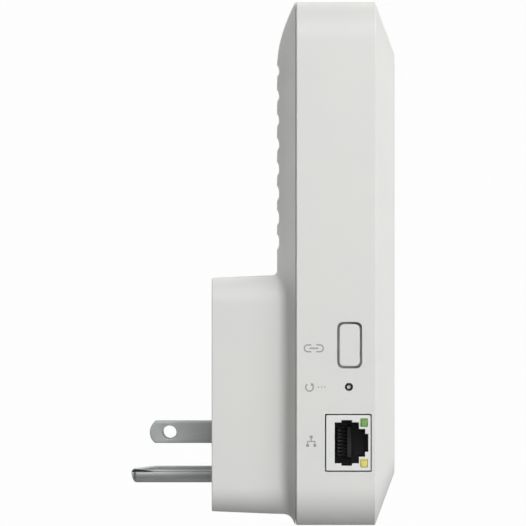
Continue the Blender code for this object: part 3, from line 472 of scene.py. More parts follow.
def inset_share(x, z):
    """0 on the housing's outline, rising to 1 where the back becomes flat."""
    low, high = np.zeros_like(x), np.ones_like(x)
    for _ in range(34):
        share = (low + high) / 2
        radius = CORNER_RADIUS + (BACK_RADIUS - CORNER_RADIUS) * share
        u = np.abs(x) - (HALF_WIDTH - BACK_INSET * share - radius)
        v = np.abs(z - MIDDLE_Z) - (HALF_HEIGHT - BACK_INSET * share - radius)
        beyond = np.hypot(np.maximum(u, 0), np.maximum(v, 0)) + np.minimum(np.maximum(u, v), 0)
        inside = beyond < radius
        low, high = np.where(inside, share, low), np.where(inside, high, share)
    return (low + high) / 2


def groove_heights():
    return [GROOVE_TOP_Z - GROOVE_PITCH * index for index in range(GROOVES)]


def back_depth(plan):
    """Depth of the back at (x, z): a slope that eases into a grooved flat."""
    x, z = plan[..., 0], plan[..., 1]
    rise = (BACK_RIM_DEPTH - FLAT_DEPTH) * (1 - (1 - inset_share(x, z)) ** BACK_EASE)
    depth = BACK_RIM_DEPTH - rise
    cut = np.zeros_like(x)
    for height in groove_heights():
        across = np.abs(z - height) / GROOVE_HALF
        cut += np.where(across < 1, 1 - np.minimum(across, 1) ** 3, 0)
    fade = np.clip(1 - (depth - FLAT_DEPTH) / GROOVE_FADE, 0, 1)
    return depth + GROOVE_CUT * cut * fade * fade * (3 - 2 * fade)


def back_columns():
    """Places across the back where the mesh has a column, from -X to +X.

    They include the ends of the slots.
    """
    middle = [0.0, 2.5, 5.0, 6.5, 8.0, 10.5, 13.0, 15.5, 18.0, 20.0, 22.0, 23.5, 24.8]
    edge = np.linspace(BOX_CORNER_X, HALF_WIDTH, 12)
    right = [value * MM for value in middle] + list(edge)
    return np.array([-value for value in reversed(right[1:])] + right)


def corner_spoke(degrees, end):
    """A spoke from one of the plug box's round corners, at an angle."""
    angle = math.radians(degrees)
    out = (math.cos(angle), math.sin(angle))
    middle_x = math.copysign(BOX_CORNER_X, out[0])
    middle_z = BOX_CORNER_TOP if out[1] >= 0 else BOX_CORNER_LOW
    return (middle_x + BOX_RADIUS * out[0], middle_z + BOX_RADIUS * out[1]), out, end


def top_spokes():
    """Spokes up to the join, one for each column, from +X to -X."""
    columns = list(back_columns()[::-1])
    beyond = sum(x > BOX_CORNER_X + 1e-9 for x in columns)
    spokes = []
    for index, x in enumerate(columns[:beyond]):
        spokes.append(corner_spoke(45 + 45 * index / beyond, (x, JOIN_Z)))
    for x in columns[beyond:-beyond]:
        spokes.append(((x, BOX_CORNER_TOP + BOX_RADIUS), (0.0, 1.0), (x, JOIN_Z)))
    for index, x in enumerate(columns[-beyond:]):
        spokes.append(corner_spoke(90 + 45 * (index + 1) / beyond, (x, JOIN_Z)))
    return spokes


def left_spokes():
    """Spokes round the plug box's -X side, from the join down to its lower corner."""
    shoulder_steps, side_steps, corner_steps = 6, 26, 12
    spokes = []
    for step in range(1, shoulder_steps + 1):
        end_z = JOIN_Z + (BOX_CORNER_TOP - JOIN_Z) * step / shoulder_steps
        degrees = 135 + 45 * step / shoulder_steps - NUDGE_DEGREES
        spokes.append(corner_spoke(degrees, (-HALF_WIDTH, end_z)))
    for step in range(1, side_steps):
        share = step / side_steps
        foot_z = BOX_CORNER_TOP + (BOX_CORNER_LOW - BOX_CORNER_TOP) * share
        end_z = BOX_CORNER_TOP + (LOW_CORNER_Z - BOX_CORNER_TOP) * share
        spokes.append(((-BOX_HALF[0], foot_z), (-1.0, 0.0), (-HALF_WIDTH, end_z)))
    for step in range(corner_steps + 1):
        degrees = 180 + 90 * step / corner_steps
        angle = math.radians(degrees)
        end_x = CORNER_RADIUS * math.cos(angle) - (HALF_WIDTH - CORNER_RADIUS)
        end = (end_x, LOW_CORNER_Z + CORNER_RADIUS * math.sin(angle))
        spokes.append(corner_spoke(min(max(degrees, 180 + NUDGE_DEGREES), 270 - NUDGE_DEGREES), end))
    return spokes


def bottom_spokes():
    steps = 24
    spokes = []
    for step in range(1, steps):
        share = 2 * step / steps - 1
        foot = (BOX_CORNER_X * share, BOX_CORNER_LOW - BOX_RADIUS)
        end = ((HALF_WIDTH - CORNER_RADIUS) * share, MIDDLE_Z - HALF_HEIGHT)
        spokes.append((foot, (0.0, -1.0), end))
    return spokes


def back_spokes():
    """Lines from the plug box out to the edge of the lower back.

    Each has its foot on the box's outline, the way out of the box there, and its
    end. They go round from the upper +X corner over the top.
    """
    left = left_spokes()
    right = [tuple((-x, z) for x, z in spoke) for spoke in reversed(left)]
    return top_spokes() + left + bottom_spokes() + right


def by_direction(out, sizes):
    """A size for each spoke, from how far it points sideways, up or down."""
    up = np.clip(out[:, 1], 0, 1) ** 2
    down = np.clip(-out[:, 1], 0, 1) ** 2
    return sizes["side"] * out[:, 0] ** 2 + sizes["top"] * up + sizes["bottom"] * down


def on_box(foot, out, depth):
    """The plug box's tapered side at a depth, one point for each spoke."""
    taper = BOX_TAPER * np.clip(1 - depth / FLAT_DEPTH, 0, 1)
    return foot - out * taper[:, None]


def box_side_rings(foot, out, start):
    """Rings from the wall face to where the fillet round the box starts."""
    edge_steps, side_steps = 4, 6
    rings = []
    for step in range(edge_steps + 1):
        angle = math.pi / 2 * step / edge_steps
        depth = np.full(len(foot), BOX_EDGE * (1 - math.cos(angle)))
        rings.append((on_box(foot, out, depth) - out * BOX_EDGE * (1 - math.sin(angle)), depth))
    for step in range(1, side_steps + 1):
        depth = BOX_EDGE + (start - BOX_EDGE) * step / side_steps
        rings.append((on_box(foot, out, depth), depth))
    return rings


def box_rings():
    """Rings of (x, z) and depth from the wall face to the edge of the lower back."""
    fillet_steps, slope_steps = 12, 8
    foot, out, end = (np.array(part, float) for part in zip(*back_spokes()))
    way = (end - foot) / np.linalg.norm(end - foot, axis=1)[:, None]
    reach = by_direction(out, FILLET_OUT)[:, None]
    land = foot + way * reach
    land_depth = back_depth(land)
    nudge = 0.05 * MM
    slope = (back_depth(land + way * nudge) - land_depth) / nudge
    corner = land_depth - slope * reach[:, 0]
    start = corner - by_direction(out, FILLET_ALONG)
    rings = box_side_rings(foot, out, start)
    begin = on_box(foot, out, start)
    for step in range(1, fillet_steps + 1):
        t = step / fillet_steps
        plan = begin * (1 - t) ** 2 + foot * 2 * t * (1 - t) + land * t**2
        depth = start * (1 - t) ** 2 + corner * 2 * t * (1 - t) + land_depth * t**2
        rings.append((plan, depth))
    for step in range(1, slope_steps + 1):
        plan = land + (end - land) * step / slope_steps
        rings.append((plan, back_depth(plan)))
    return rings


def upper_rows():
    """Heights of the mesh rows above the join, closer together at each groove."""
    offsets = np.array([2.7, 2.4, 2.25, 1.95, 1.5, 1.0, 0.5]) * MM
    rows = [JOIN_Z + 0.9 * MM]
    for height in groove_heights()[::-1]:
        rows += list(height - offsets) + list(height + offsets[::-1])
    arc_start = MIDDLE_Z + HALF_HEIGHT - CORNER_RADIUS
    rows += list(np.linspace(rows[-1], arc_start, 5)[1:])
    angles = np.linspace(0, math.pi / 2, 15)[1:]
    return rows + list(arc_start + CORNER_RADIUS * np.sin(angles))


def half_width_at(z):
    over = max(0.0, z - (MIDDLE_Z + HALF_HEIGHT - CORNER_RADIUS))
    inner = HALF_WIDTH - CORNER_RADIUS
    return inner + math.sqrt(max(0.0, CORNER_RADIUS**2 - over**2))


def back_skin():
    """The back's outer skin: its shape, its edge, the slots and the wall loop."""
    shape = Shape()
    rows = []
    for plan, depth in box_rings():
        rows.append(shape.ring(np.stack([plan[:, 0], -depth, plan[:, 1]], 1)))
    shape.skin(rows)
    columns = back_columns()[::-1]
    upper = [rows[-1][: len(columns)]]
    heights = [JOIN_Z] + upper_rows()
    for z in heights[1:]:
        x = columns * half_width_at(z) / HALF_WIDTH
        plan = np.stack([x, np.full_like(x, z)], 1)
        upper.append(shape.ring(np.stack([x, -back_depth(plan), plan[:, 1]], 1)))
    slots = []
    for low, high in zip(range(len(heights)), range(1, len(heights))):
        middle = (heights[low] + heights[high]) / 2
        open_row = any(abs(middle - z) < 0.5 * SLOT_HALF_HEIGHT for z in groove_heights())
        skip = set()
        for left, right in SLOT_EDGES if open_row else ():
            a, b = (int(np.argmin(abs(columns - edge * MM))) for edge in (right, left))
            skip |= set(range(a, b))
            slots.append(upper[low][a : b + 1] + upper[high][a : b + 1][::-1])
        shape.skin([upper[low], upper[high]], closed=False, skip=skip)
    edge = [row[0] for row in upper] + upper[-1][1:-1] + [row[-1] for row in upper[::-1]]
    edge += rows[-1][len(columns) :]
    return shape, edge, slots, rows[0]


def outline_normals(plan):
    """The way out of the housing at points on its outline."""
    offset = plan - np.array([0.0, MIDDLE_Z])
    over = np.abs(offset) - (np.array([HALF_WIDTH, HALF_HEIGHT]) - CORNER_RADIUS)
    over = np.maximum(over, 0) * np.sign(offset)
    return over / np.linalg.norm(over, axis=1)[:, None]


def skin_normals(points, faces):
    """Area-weighted normals that point towards the wall or sideways."""
    corners = points[np.array(faces)]
    across = np.cross(corners[:, 2] - corners[:, 0], corners[:, 3] - corners[:, 1])
    normals = np.zeros_like(points)
    for index in range(4):
        np.add.at(normals, np.array(faces)[:, index], across)
    normals /= np.linalg.norm(normals, axis=1)[:, None]
    return normals * (1 if normals[:, 1].sum() > 0 else -1)


def make_back_cover():
    """The curved, grooved back with its plug box, as one thick shell."""
    shape, edge, slots, wall_loop = back_skin()
    points = np.array(shape.points)
    inner_points = points - skin_normals(points, shape.faces) * BACK_THICKNESS
    share = inset_share(points[:, 0], points[:, 2])
    pull = np.clip(1 - share * BACK_INSET / RIM_PULL_RUN, 0, 1) * RIM_PULL
    inner_points[:, 0] *= 1 - pull / HALF_WIDTH
    inner_points[:, 2] -= (inner_points[:, 2] - MIDDLE_Z) * pull / HALF_HEIGHT
    inner_points[wall_loop, 1] = -BACK_THICKNESS
    faces = list(shape.faces)
    inner = shape.ring(inner_points)
    shape.faces += [tuple(inner[n] for n in face) for face in faces]
    for slot in slots:
        shape.skin([slot, [inner[n] for n in slot]])
    plan = points[edge][:, [0, 2]]
    out = outline_normals(plan)
    rows = [edge]
    stations = ((LIP_INSETS[0], BACK_RIM_DEPTH),)
    stations += tuple((inset, LIP_DEPTH) for inset in LIP_INSETS)
    for inset, depth in stations:
        ring = plan - out * inset
        rows.append(shape.ring([(x, -depth, z) for x, z in ring]))
    rows.append([inner[n] for n in edge])
    shape.skin(rows)
    through = [(0.0, 0.0), (BACK_THICKNESS, 0.0)]
    loops = [shape.opening(outline, on_back, through) for outline in prong_outlines()]
    shape.fill(wall_loop, *[first for first, _ in loops])
    shape.fill([inner[n] for n in wall_loop], *[last for _, last in loops])
    shape.piece("back_shell", "housing_white", ["back_cover"])


def prong_outlines():
    """The slots in the wall face for the prongs."""
    outlines = []
    for name in BLADES:
        low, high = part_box(name)
        centre = ((low.x + high.x) / 2, 0.0)
        half_x = (high.x - low.x) / 2 + PRONG_GAP
        outlines.append(rounded(half_x, BLADE_HALF + PRONG_GAP, 0.3 * MM, centre, 3))
    outlines.append(circle(PIN_RADIUS + PRONG_GAP, (0.0, PIN_Z)))
    return outlines


# Controls


def make_pair_button():
    """The oblong button: a cap with a softened edge, its flange and its stem."""
    low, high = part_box("pair_button")
    half = [value - BUTTON_GAP for value in BUTTON_HALF]
    outline = rounded(*half, BUTTON_RADIUS - 0.35 * MM, BUTTON_AT)
    edge = soft_edge(BUTTON_EDGE, 5)
    stations = [(inward + INK, growth) for inward, growth in edge]
    flange_at = WALL + BUTTON_FLANGE_SINK
    flange_end = flange_at + BUTTON_FLANGE_THICK
    stations += [(flange_at, 0.0), (flange_at, BUTTON_FLANGE), (flange_end, BUTTON_FLANGE)]
    stations += [(flange_end, -BUTTON_STEM_INSET), (high.x - low.x, -BUTTON_STEM_INSET)]
    shape = Shape()
    shape.solid(outline, on_side(low.x), stations)
    shape.piece("button_cap", "button_white", ["pair_button"], "pair_button")


def soft_edge(radius, steps):
    """(distance in, growth) of a solid's rounded edge, from its face inwards."""
    return [(inward, -growth) for inward, growth in round_over(radius, steps)]


def make_reset_tip():
    """The reset plunger: a domed tip on a stem, and a wider base."""
    low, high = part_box("reset_switch_plunger")
    dome_steps = 6
    stations = []
    for step in range(1, dome_steps + 1):
        angle = math.pi / 2 * step / dome_steps
        inward = RESET_DOME * (1 - math.cos(angle))
        stations.append((inward, RESET_TIP_RADIUS * (math.sin(angle) - 1)))
    base = RESET_BASE_RADIUS - RESET_TIP_RADIUS
    base_at = high.x - low.x - RESET_BASE_HEIGHT
    stations += [(base_at, 0.0), (base_at, base), (high.x - low.x, base)]
    shape = Shape()
    shape.solid(circle(RESET_TIP_RADIUS, RESET_AT, 32), on_side(low.x), stations)
    shape.piece("reset_tip", "plunger_white", ["reset_switch_plunger"], "reset_plunger")


# Network jack

# Half of the opening's outline, as depth and distance from its middle in mm
CAVITY_STEPS = (
    (35.95, 5.975),
    (37.9, 5.975),
    (37.9, 6.65),
    (41.0, 6.65),
    (41.0, 5.975),
    (43.0, 5.975),
    (43.0, 4.05),
    (44.8, 4.05),
    (44.8, 2.6),
    (45.73, 2.6),
)


def cavity_outline():
    """The opening for the plug, its latch and the latch's tip."""
    lower = [(u * MM, JACK_Z - v * MM) for u, v in CAVITY_STEPS]
    upper = [(u * MM, JACK_Z + v * MM) for u, v in reversed(CAVITY_STEPS)]
    return np.array(lower + upper)


def jack_outline():
    return node_outline("jack_housing", 0.0, 0.3 * MM)


def light_outline(light, gap):
    return node_outline(light, gap, 0.25 * MM)


LIGHTS = {"jack_light_green": "window_green", "jack_light_yellow": "window_yellow"}


def make_jack():
    """The white face plate, the black body behind it, the wires and the lights."""
    pockets = [light_outline(light, LIGHT_GAP) for light in LIGHTS]
    place = on_side(JACK_LOW.x)
    plate = Shape()
    first, last = plate.opening(jack_outline(), place, soft_edge(JACK_EDGE, 3) + [(JACK_PLATE, 0.0)])
    through = round_over(0.12 * MM, 3) + [(JACK_PLATE, 0.0)]
    holes = [plate.opening(cavity_outline(), place, through)]
    holes += [plate.opening(pocket, place, [(0.0, 0.0), (JACK_PLATE, 0.0)]) for pocket in pockets]
    plate.fill(first, *[hole[0] for hole in holes])
    plate.fill(last, *[hole[1] for hole in holes])
    plate.piece("jack_face", "jack_white", ["jack_housing"])
    make_jack_body(pockets)
    make_comb()
    for light, slot in LIGHTS.items():
        make_light(light, slot)
    make_wires()


def make_jack_body(pockets):
    """The black body, with the plug's cavity and a pocket for each light."""
    shape = Shape()
    place = on_side(JACK_LOW.x + JACK_PLATE)
    full = JACK_HIGH.x - JACK_LOW.x - JACK_PLATE
    deep = CAVITY_END_X - JACK_LOW.x - JACK_PLATE
    first, last = shape.opening(jack_outline(), place, [(0.0, 0.0), (full, 0.0)])
    mouth, end = shape.opening(cavity_outline(), place, [(0.0, 0.0), (deep, 0.0)])
    stations = [(0.0, 0.0), (LIGHT_POCKET, 0.0)]
    holes = [shape.opening(pocket, place, stations) for pocket in pockets]
    shape.fill(first, mouth, *[hole[0] for hole in holes])
    shape.fill(last)
    shape.fill(end)
    for hole in holes:
        shape.fill(hole[1])
    shape.piece("jack_body", "switch_black")


def make_comb():
    """The ridge behind the wires, and the ribs that space them."""
    shape = Shape()
    back = CAVITY_END_X - COMB_SINK
    ridge_length, rib_length, ridge_edge = 5.0 * MM, 3.0 * MM, 0.15 * MM
    ridge = rounded(0.75 * MM, 4.7 * MM, 0.2 * MM, (40.35 * MM, JACK_Z), 3)
    stations = [(0.0, -ridge_edge), (ridge_edge, 0.0), (ridge_length, 0.0)]
    shape.solid(ridge, on_side(back - ridge_length), stations)
    for index in range(CONTACTS + 1):
        z = JACK_Z + (index - CONTACTS / 2) * CONTACT_PITCH
        rib = rounded(1.3 * MM, 0.17 * MM, 0.05 * MM, (38.3 * MM, z), 2)
        shape.solid(rib, on_side(back - rib_length), [(0.0, 0.0), (rib_length, 0.0)])
    shape.piece("jack_comb", "switch_black")


def make_light(light, slot):
    """One light pipe, whose face is slightly domed."""
    low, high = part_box(light)
    shape = Shape()
    stations = [(0.06 * MM, -0.45 * MM), (0.1 * MM, -0.25 * MM), (0.2 * MM, -0.08 * MM)]
    stations += [(0.4 * MM, 0.0), (high.x - low.x, 0.0)]
    shape.solid(light_outline(light, 0.0), on_side(low.x), stations)
    shape.piece(light + "_pipe", slot, [light])


def wire_path():
    """The middle of a spring wire, as (x, depth in mm), from its foot to the comb."""
    front = JACK_LOW.x + 2.0 * MM
    return (
        (CAVITY_END_X - 0.6 * MM, 36.7),
        (front + 0.8 * MM, 36.7),
        (front + 0.2 * MM, 36.85),
        (front, 37.15),
        (front + 0.25 * MM, 37.45),
        (front + 0.9 * MM, 37.65),
        (CAVITY_END_X - 6.0 * MM, 38.6),
        (CAVITY_END_X - 2.0 * MM, 39.4),
    )


def make_wires():
    """The jack's eight spring wires."""
    middle = np.array([(x, -depth * MM) for x, depth in wire_path()])
    ahead = np.gradient(middle, axis=0)
    ahead /= np.linalg.norm(ahead, axis=1)[:, None]
    across = np.stack([-ahead[:, 1], ahead[:, 0]], 1)
    profile = rounded(0.15 * MM, 0.225 * MM, 0.12 * MM, steps=3)
    for index in range(CONTACTS):
        contact = f"jack_contact_{index + 1}"
        low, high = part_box(contact)
        z = (low.z + high.z) / 2
        shape = Shape()
        rows = []
        for place, side in zip(middle, across):
            rows.append(shape.ring([(*(place + side * u), z + v) for u, v in profile]))
        shape.skin(rows)
        shape.fill(rows[0])
        shape.fill(rows[-1])
        shape.piece(f"jack_wire_{index + 1}", "contact_gold", [contact])


# Prongs


def blade_outline():
    """A blade seen from the side, as (y, z), anticlockwise, tip at +Y."""
    sweep = math.asin(BLADE_HALF / BLADE_TIP_RADIUS)
    centre = BLADE_LENGTH - BLADE_TIP_RADIUS
    points = []
    for angle in np.linspace(-sweep, sweep, 25):
        y, z = polar(BLADE_TIP_RADIUS, angle)
        points.append((centre + y, z))
    upper = [(PRONG_ROOT, BLADE_HALF), (PRONG_ROOT, BLADE_TAIL_HALF), (BLADE_TAIL, BLADE_TAIL_HALF)]
    lower = [(y, -z) for y, z in reversed(upper)]
    return np.array(points + upper + lower)


def make_blades():
    """Two stamped blades with coined edges and a hole near the tip."""
    for name in BLADES:
        low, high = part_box(name)
        thick = high.x - low.x
        shape = Shape()
        stations = [(0.0, -BLADE_COIN), (0.3 * BLADE_COIN, -0.3 * BLADE_COIN), (BLADE_COIN, 0.0)]
        stations += [(thick - inward, growth) for inward, growth in reversed(stations)]

        def place(inward, u, v):
            return (low.x + inward, u, v)

        first, last = shape.opening(blade_outline(), place, stations)
        hole = circle(BLADE_HOLE_RADIUS, (BLADE_HOLE_AT, 0.0), 48)
        hole_stations = [(inward, -growth) for inward, growth in stations]
        hole_first, hole_last = shape.opening(hole, place, hole_stations)
        shape.fill(first, hole_first)
        shape.fill(last, hole_last)
        shape.piece(name.replace("line_blade", "blade"), "prong_nickel", [name])


def smooth(value):
    value = min(1.0, max(0.0, value))
    return value * value * (3 - 2 * value)


def polar(radius, angle):
    return radius * math.cos(angle), radius * math.sin(angle)


def sheet_edge(angle, bows, turn):
    """Points round an edge of the rolled sheet at an angle of the section."""
    half = PIN_SHEET / 2
    points = []
    for bow in bows:
        out, on = polar(half, math.radians(bow))
        points.append(polar(PIN_SHEET_RADIUS + out, angle + turn * 0.5 * on / PIN_SHEET_RADIUS))
    return points


def pin_section(to_tip):
    """The rolled sheet's outline, as (x, z), at a distance from the pin's tip."""
    share = smooth(1.0 - to_tip / PIN_OPENING_RUN)
    end = PIN_LIP_HIGH + (PIN_TIP_END - PIN_LIP_HIGH) * share
    angles = np.linspace(PIN_LIP_LOW, end, 49)
    bows = np.linspace(30, 150, 5)
    points = [polar(PIN_RADIUS, angle) for angle in angles]
    points += sheet_edge(end, bows, 1)
    points += [polar(PIN_RADIUS - PIN_SHEET, angle) for angle in angles[::-1]]
    points += sheet_edge(PIN_LIP_LOW, bows[::-1], -1)
    return np.array(points)


def pin_ring(y):
    """The pin's section at y: its top comes down near the tip, and its nose closes."""
    to_tip = PIN_LENGTH - y
    closeness = 1 - min(1.0, to_tip / PIN_NOSE)
    scale = max(PIN_NOSE_LEAST, math.sqrt(1 - closeness**2))
    deck_scale = 1.0 - PIN_DECK_FALL * smooth(1.0 - to_tip / PIN_DECK_RUN)
    section = pin_section(to_tip)
    above = section[:, 1] > PIN_SEAM_RISE
    section[above, 1] = PIN_SEAM_RISE + (section[above, 1] - PIN_SEAM_RISE) * deck_scale
    section[:, 1] = PIN_SEAM_RISE + (section[:, 1] - PIN_SEAM_RISE) * scale
    section[:, 0] *= scale
    return [(x, y, PIN_Z + z) for x, z in section]


def make_ground_pin():
    """A pin rolled from sheet, with a seam along its side that opens at the tip."""
    nose = PIN_LENGTH - PIN_NOSE * (1 - np.sin(np.linspace(0, math.pi / 2, 10)))
    deck = np.linspace(PIN_LENGTH - PIN_DECK_RUN, PIN_LENGTH - PIN_NOSE, 30)[:-1]
    shape = Shape()
    rows = [shape.ring(pin_ring(y)) for y in [PRONG_ROOT, 0.0, *deck, *nose]]
    shape.skin(rows)
    shape.fill(rows[0])
    shape.fill(rows[-1])
    shape.piece("earth_pin", "prong_nickel", ["ground_pin"], sharp=60.0)


# Printed pictograms


def stroke(shape, path, width=0.4 * MM):
    """A printed line along (depth, z) points on the side face."""
    path = np.array(path)
    ahead = np.gradient(path, axis=0)
    ahead /= np.linalg.norm(ahead, axis=1)[:, None]
    side = np.stack([-ahead[:, 1], ahead[:, 0]], 1) * width / 2
    place = on_side(-HALF_WIDTH)
    rows = []
    for inward, sign in ((INK, 1), (0.0, 1), (0.0, -1), (INK, -1)):
        rows.append(shape.ring([place(inward, u, v) for u, v in path + side * sign]))
    shape.skin(rows + rows[:1], closed=False)
    for end in (0, -1):
        shape.faces.append(tuple(row[end] for row in rows))


def arc(centre, radius, start, end, steps=24):
    angles = np.radians(np.linspace(start, end, steps + 1))
    return [(centre[0] + radius * math.cos(a), centre[1] + radius * math.sin(a)) for a in angles]


def patch(shape, outline):
    """A printed patch on the side face."""
    shape.solid(outline, on_side(-HALF_WIDTH), [(0.0, 0.0), (INK, 0.0)])


def print_link():
    """A chain link: two bows with a bar between them."""
    u, v = LINK_AT
    radius, bow_out, bow_end, bar_half = 1.0 * MM, 1.75 * MM, 0.75 * MM, 1.3 * MM
    shape = Shape()
    for side, start in ((-1, 90), (1, -90)):
        bow = arc((u + side * bow_out, v), radius, start, start + 180)
        near = u + side * bow_end
        stroke(shape, [(near, bow[0][1])] + bow + [(near, bow[-1][1])])
    stroke(shape, [(u - bar_half, v), (u + bar_half, v)])
    shape.piece("print_pairing", "legend_grey")


def print_turn():
    """An arrow that turns back on itself, and three dots for a long press."""
    radius, start, end = 1.1 * MM, 125, 395
    head_half, head_length, dot_radius = 0.55 * MM, 0.8 * MM, 0.2 * MM
    shape = Shape()
    stroke(shape, arc(TURN_AT, radius, start, end))
    out = np.array(polar(1.0, math.radians(end)))
    on = np.array((-out[1], out[0]))
    tip = np.array(TURN_AT) + out * radius
    patch(shape, np.array([tip - out * head_half, tip + out * head_half, tip + on * head_length]))
    for index in range(3):
        patch(shape, circle(dot_radius, ((31.2 + 0.95 * index) * MM, RESET_AT[1]), 12))
    shape.piece("print_restart", "legend_grey")


def print_network():
    """Three boxes joined by lines, one above and two below."""
    u, v = NETWORK_AT
    thin, foot_out, box_rise = 0.3 * MM, 1.05 * MM, 1.25 * MM
    box_half, box_height = 0.42 * MM, 0.78 * MM
    shape = Shape()
    for box_u, box_v in ((u, v + box_rise), (u - foot_out, v - box_rise), (u + foot_out, v - box_rise)):
        stroke(shape, [(box_u - box_half, box_v), (box_u + box_half, box_v)], box_height)
    bar = v - 0.05 * MM
    stroke(shape, [(u, v + 1.0 * MM), (u, bar)], thin)
    stroke(shape, [(u - 1.2 * MM, bar), (u + 1.2 * MM, bar)], thin)
    for foot in (u - foot_out, u + foot_out):
        stroke(shape, [(foot, bar), (foot, v - 0.95 * MM)], thin)
    shape.piece("print_network", "legend_grey")


# Finishes

EVEN = (1, 1, 1)
BLOTCH = 30.0
METAL_BLOTCH = 120.0
TRACE_SCALE = 260.0
PAD_SCALE = 420.0
PAD_TIN = (0.5, 0.5, 0.48, 1.0)


def add_node(tree, kind, sockets=None, **settings):
    """Adds a shader node, with its inputs linked or set."""
    made = tree.nodes.new(kind)
    for key, value in settings.items():
        setattr(made, key, value)
    for key, value in (sockets or {}).items():
        if isinstance(value, bpy.types.NodeSocket):
            tree.links.new(value, made.inputs[key])
        else:
            made.inputs[key].default_value = value
    return made


def spread(tree, value, low, high, floor=0.3, ceiling=0.7):
    """A value that runs from floor to ceiling, stretched to run from low to high."""
    sockets = {"Value": value, "From Min": floor, "From Max": ceiling, "To Min": low, "To Max": high}
    return add_node(tree, "ShaderNodeMapRange", sockets).outputs["Result"]


def noise(tree, place, scale, detail=2.0, rough=0.5):
    sockets = {"Vector": place, "Scale": scale, "Detail": detail, "Roughness": rough}
    return add_node(tree, "ShaderNodeTexNoise", sockets).outputs["Fac"]


def blend(tree, share, first, second):
    """The first colour where share is 0, and the second where it is 1."""
    sockets = {"Factor": share, "A": first, "B": second}
    return add_node(tree, "ShaderNodeMix", sockets, data_type="RGBA").outputs[2]


def surface(name, colour, other, rough, grain, height, blotch=BLOTCH, stretch=EVEN, fixed=None):
    """A mottled colour, an uneven gloss and a grain in relief.

    grain is the grain's pitch in mm and height its relief in mm; rough is the
    lowest and highest roughness; other is the colour the mottling moves towards;
    fixed holds the values of further sockets.
    """
    made = bpy.data.materials.new(name)
    made.use_nodes = True
    tree = made.node_tree
    shader = tree.nodes["Principled BSDF"]
    place = add_node(tree, "ShaderNodeTexCoord").outputs["Object"]
    sockets = {"Vector": place, "Scale": stretch}
    stretched = add_node(tree, "ShaderNodeMapping", sockets).outputs["Vector"]
    share = spread(tree, noise(tree, place, blotch, 3.0), 0.0, 1.0)
    tree.links.new(blend(tree, share, (*colour, 1.0), (*other, 1.0)), shader.inputs["Base Color"])
    patches = noise(tree, stretched, 4 * blotch, 4.0)
    tree.links.new(spread(tree, patches, *rough), shader.inputs["Roughness"])
    fine = noise(tree, stretched, 1000.0 / grain, 3.0, 0.6)
    sockets = {"Height": fine, "Strength": 0.6, "Distance": height * MM}
    bump = add_node(tree, "ShaderNodeBump", sockets)
    tree.links.new(bump.outputs["Normal"], shader.inputs["Normal"])
    for socket, value in (fixed or {}).items():
        shader.inputs[socket].default_value = value
    return made


def metal(name, colour, other, rough, grain, height, stretch=EVEN):
    fixed = {"Metallic": 1.0}
    return surface(name, colour, other, rough, grain, height, METAL_BLOTCH, stretch, fixed)


def board(name, colour, other):
    """Solder mask over copper traces, with tinned pads."""
    made = surface(name, colour, other, (0.35, 0.5), 0.4, 0.01, 60.0)
    tree = made.node_tree
    base_input = tree.nodes["Principled BSDF"].inputs["Base Color"]
    place = add_node(tree, "ShaderNodeTexCoord").outputs["Object"]
    sockets = {"Vector": place, "Scale": TRACE_SCALE}
    lanes = add_node(tree, "ShaderNodeTexVoronoi", sockets, feature="DISTANCE_TO_EDGE")
    trace = spread(tree, lanes.outputs["Distance"], 1.0, 0.0, 0.02, 0.05)
    copper = tuple(min(1.0, 1.7 * value + 0.01) for value in colour)
    traced = blend(tree, trace, base_input.links[0].from_socket, (*copper, 1.0))
    dots = add_node(tree, "ShaderNodeTexVoronoi", {"Vector": place, "Scale": PAD_SCALE})
    pad = spread(tree, dots.outputs["Distance"], 1.0, 0.0, 0.16, 0.2)
    tree.links.new(blend(tree, pad, traced, PAD_TIN), base_input)
    return made


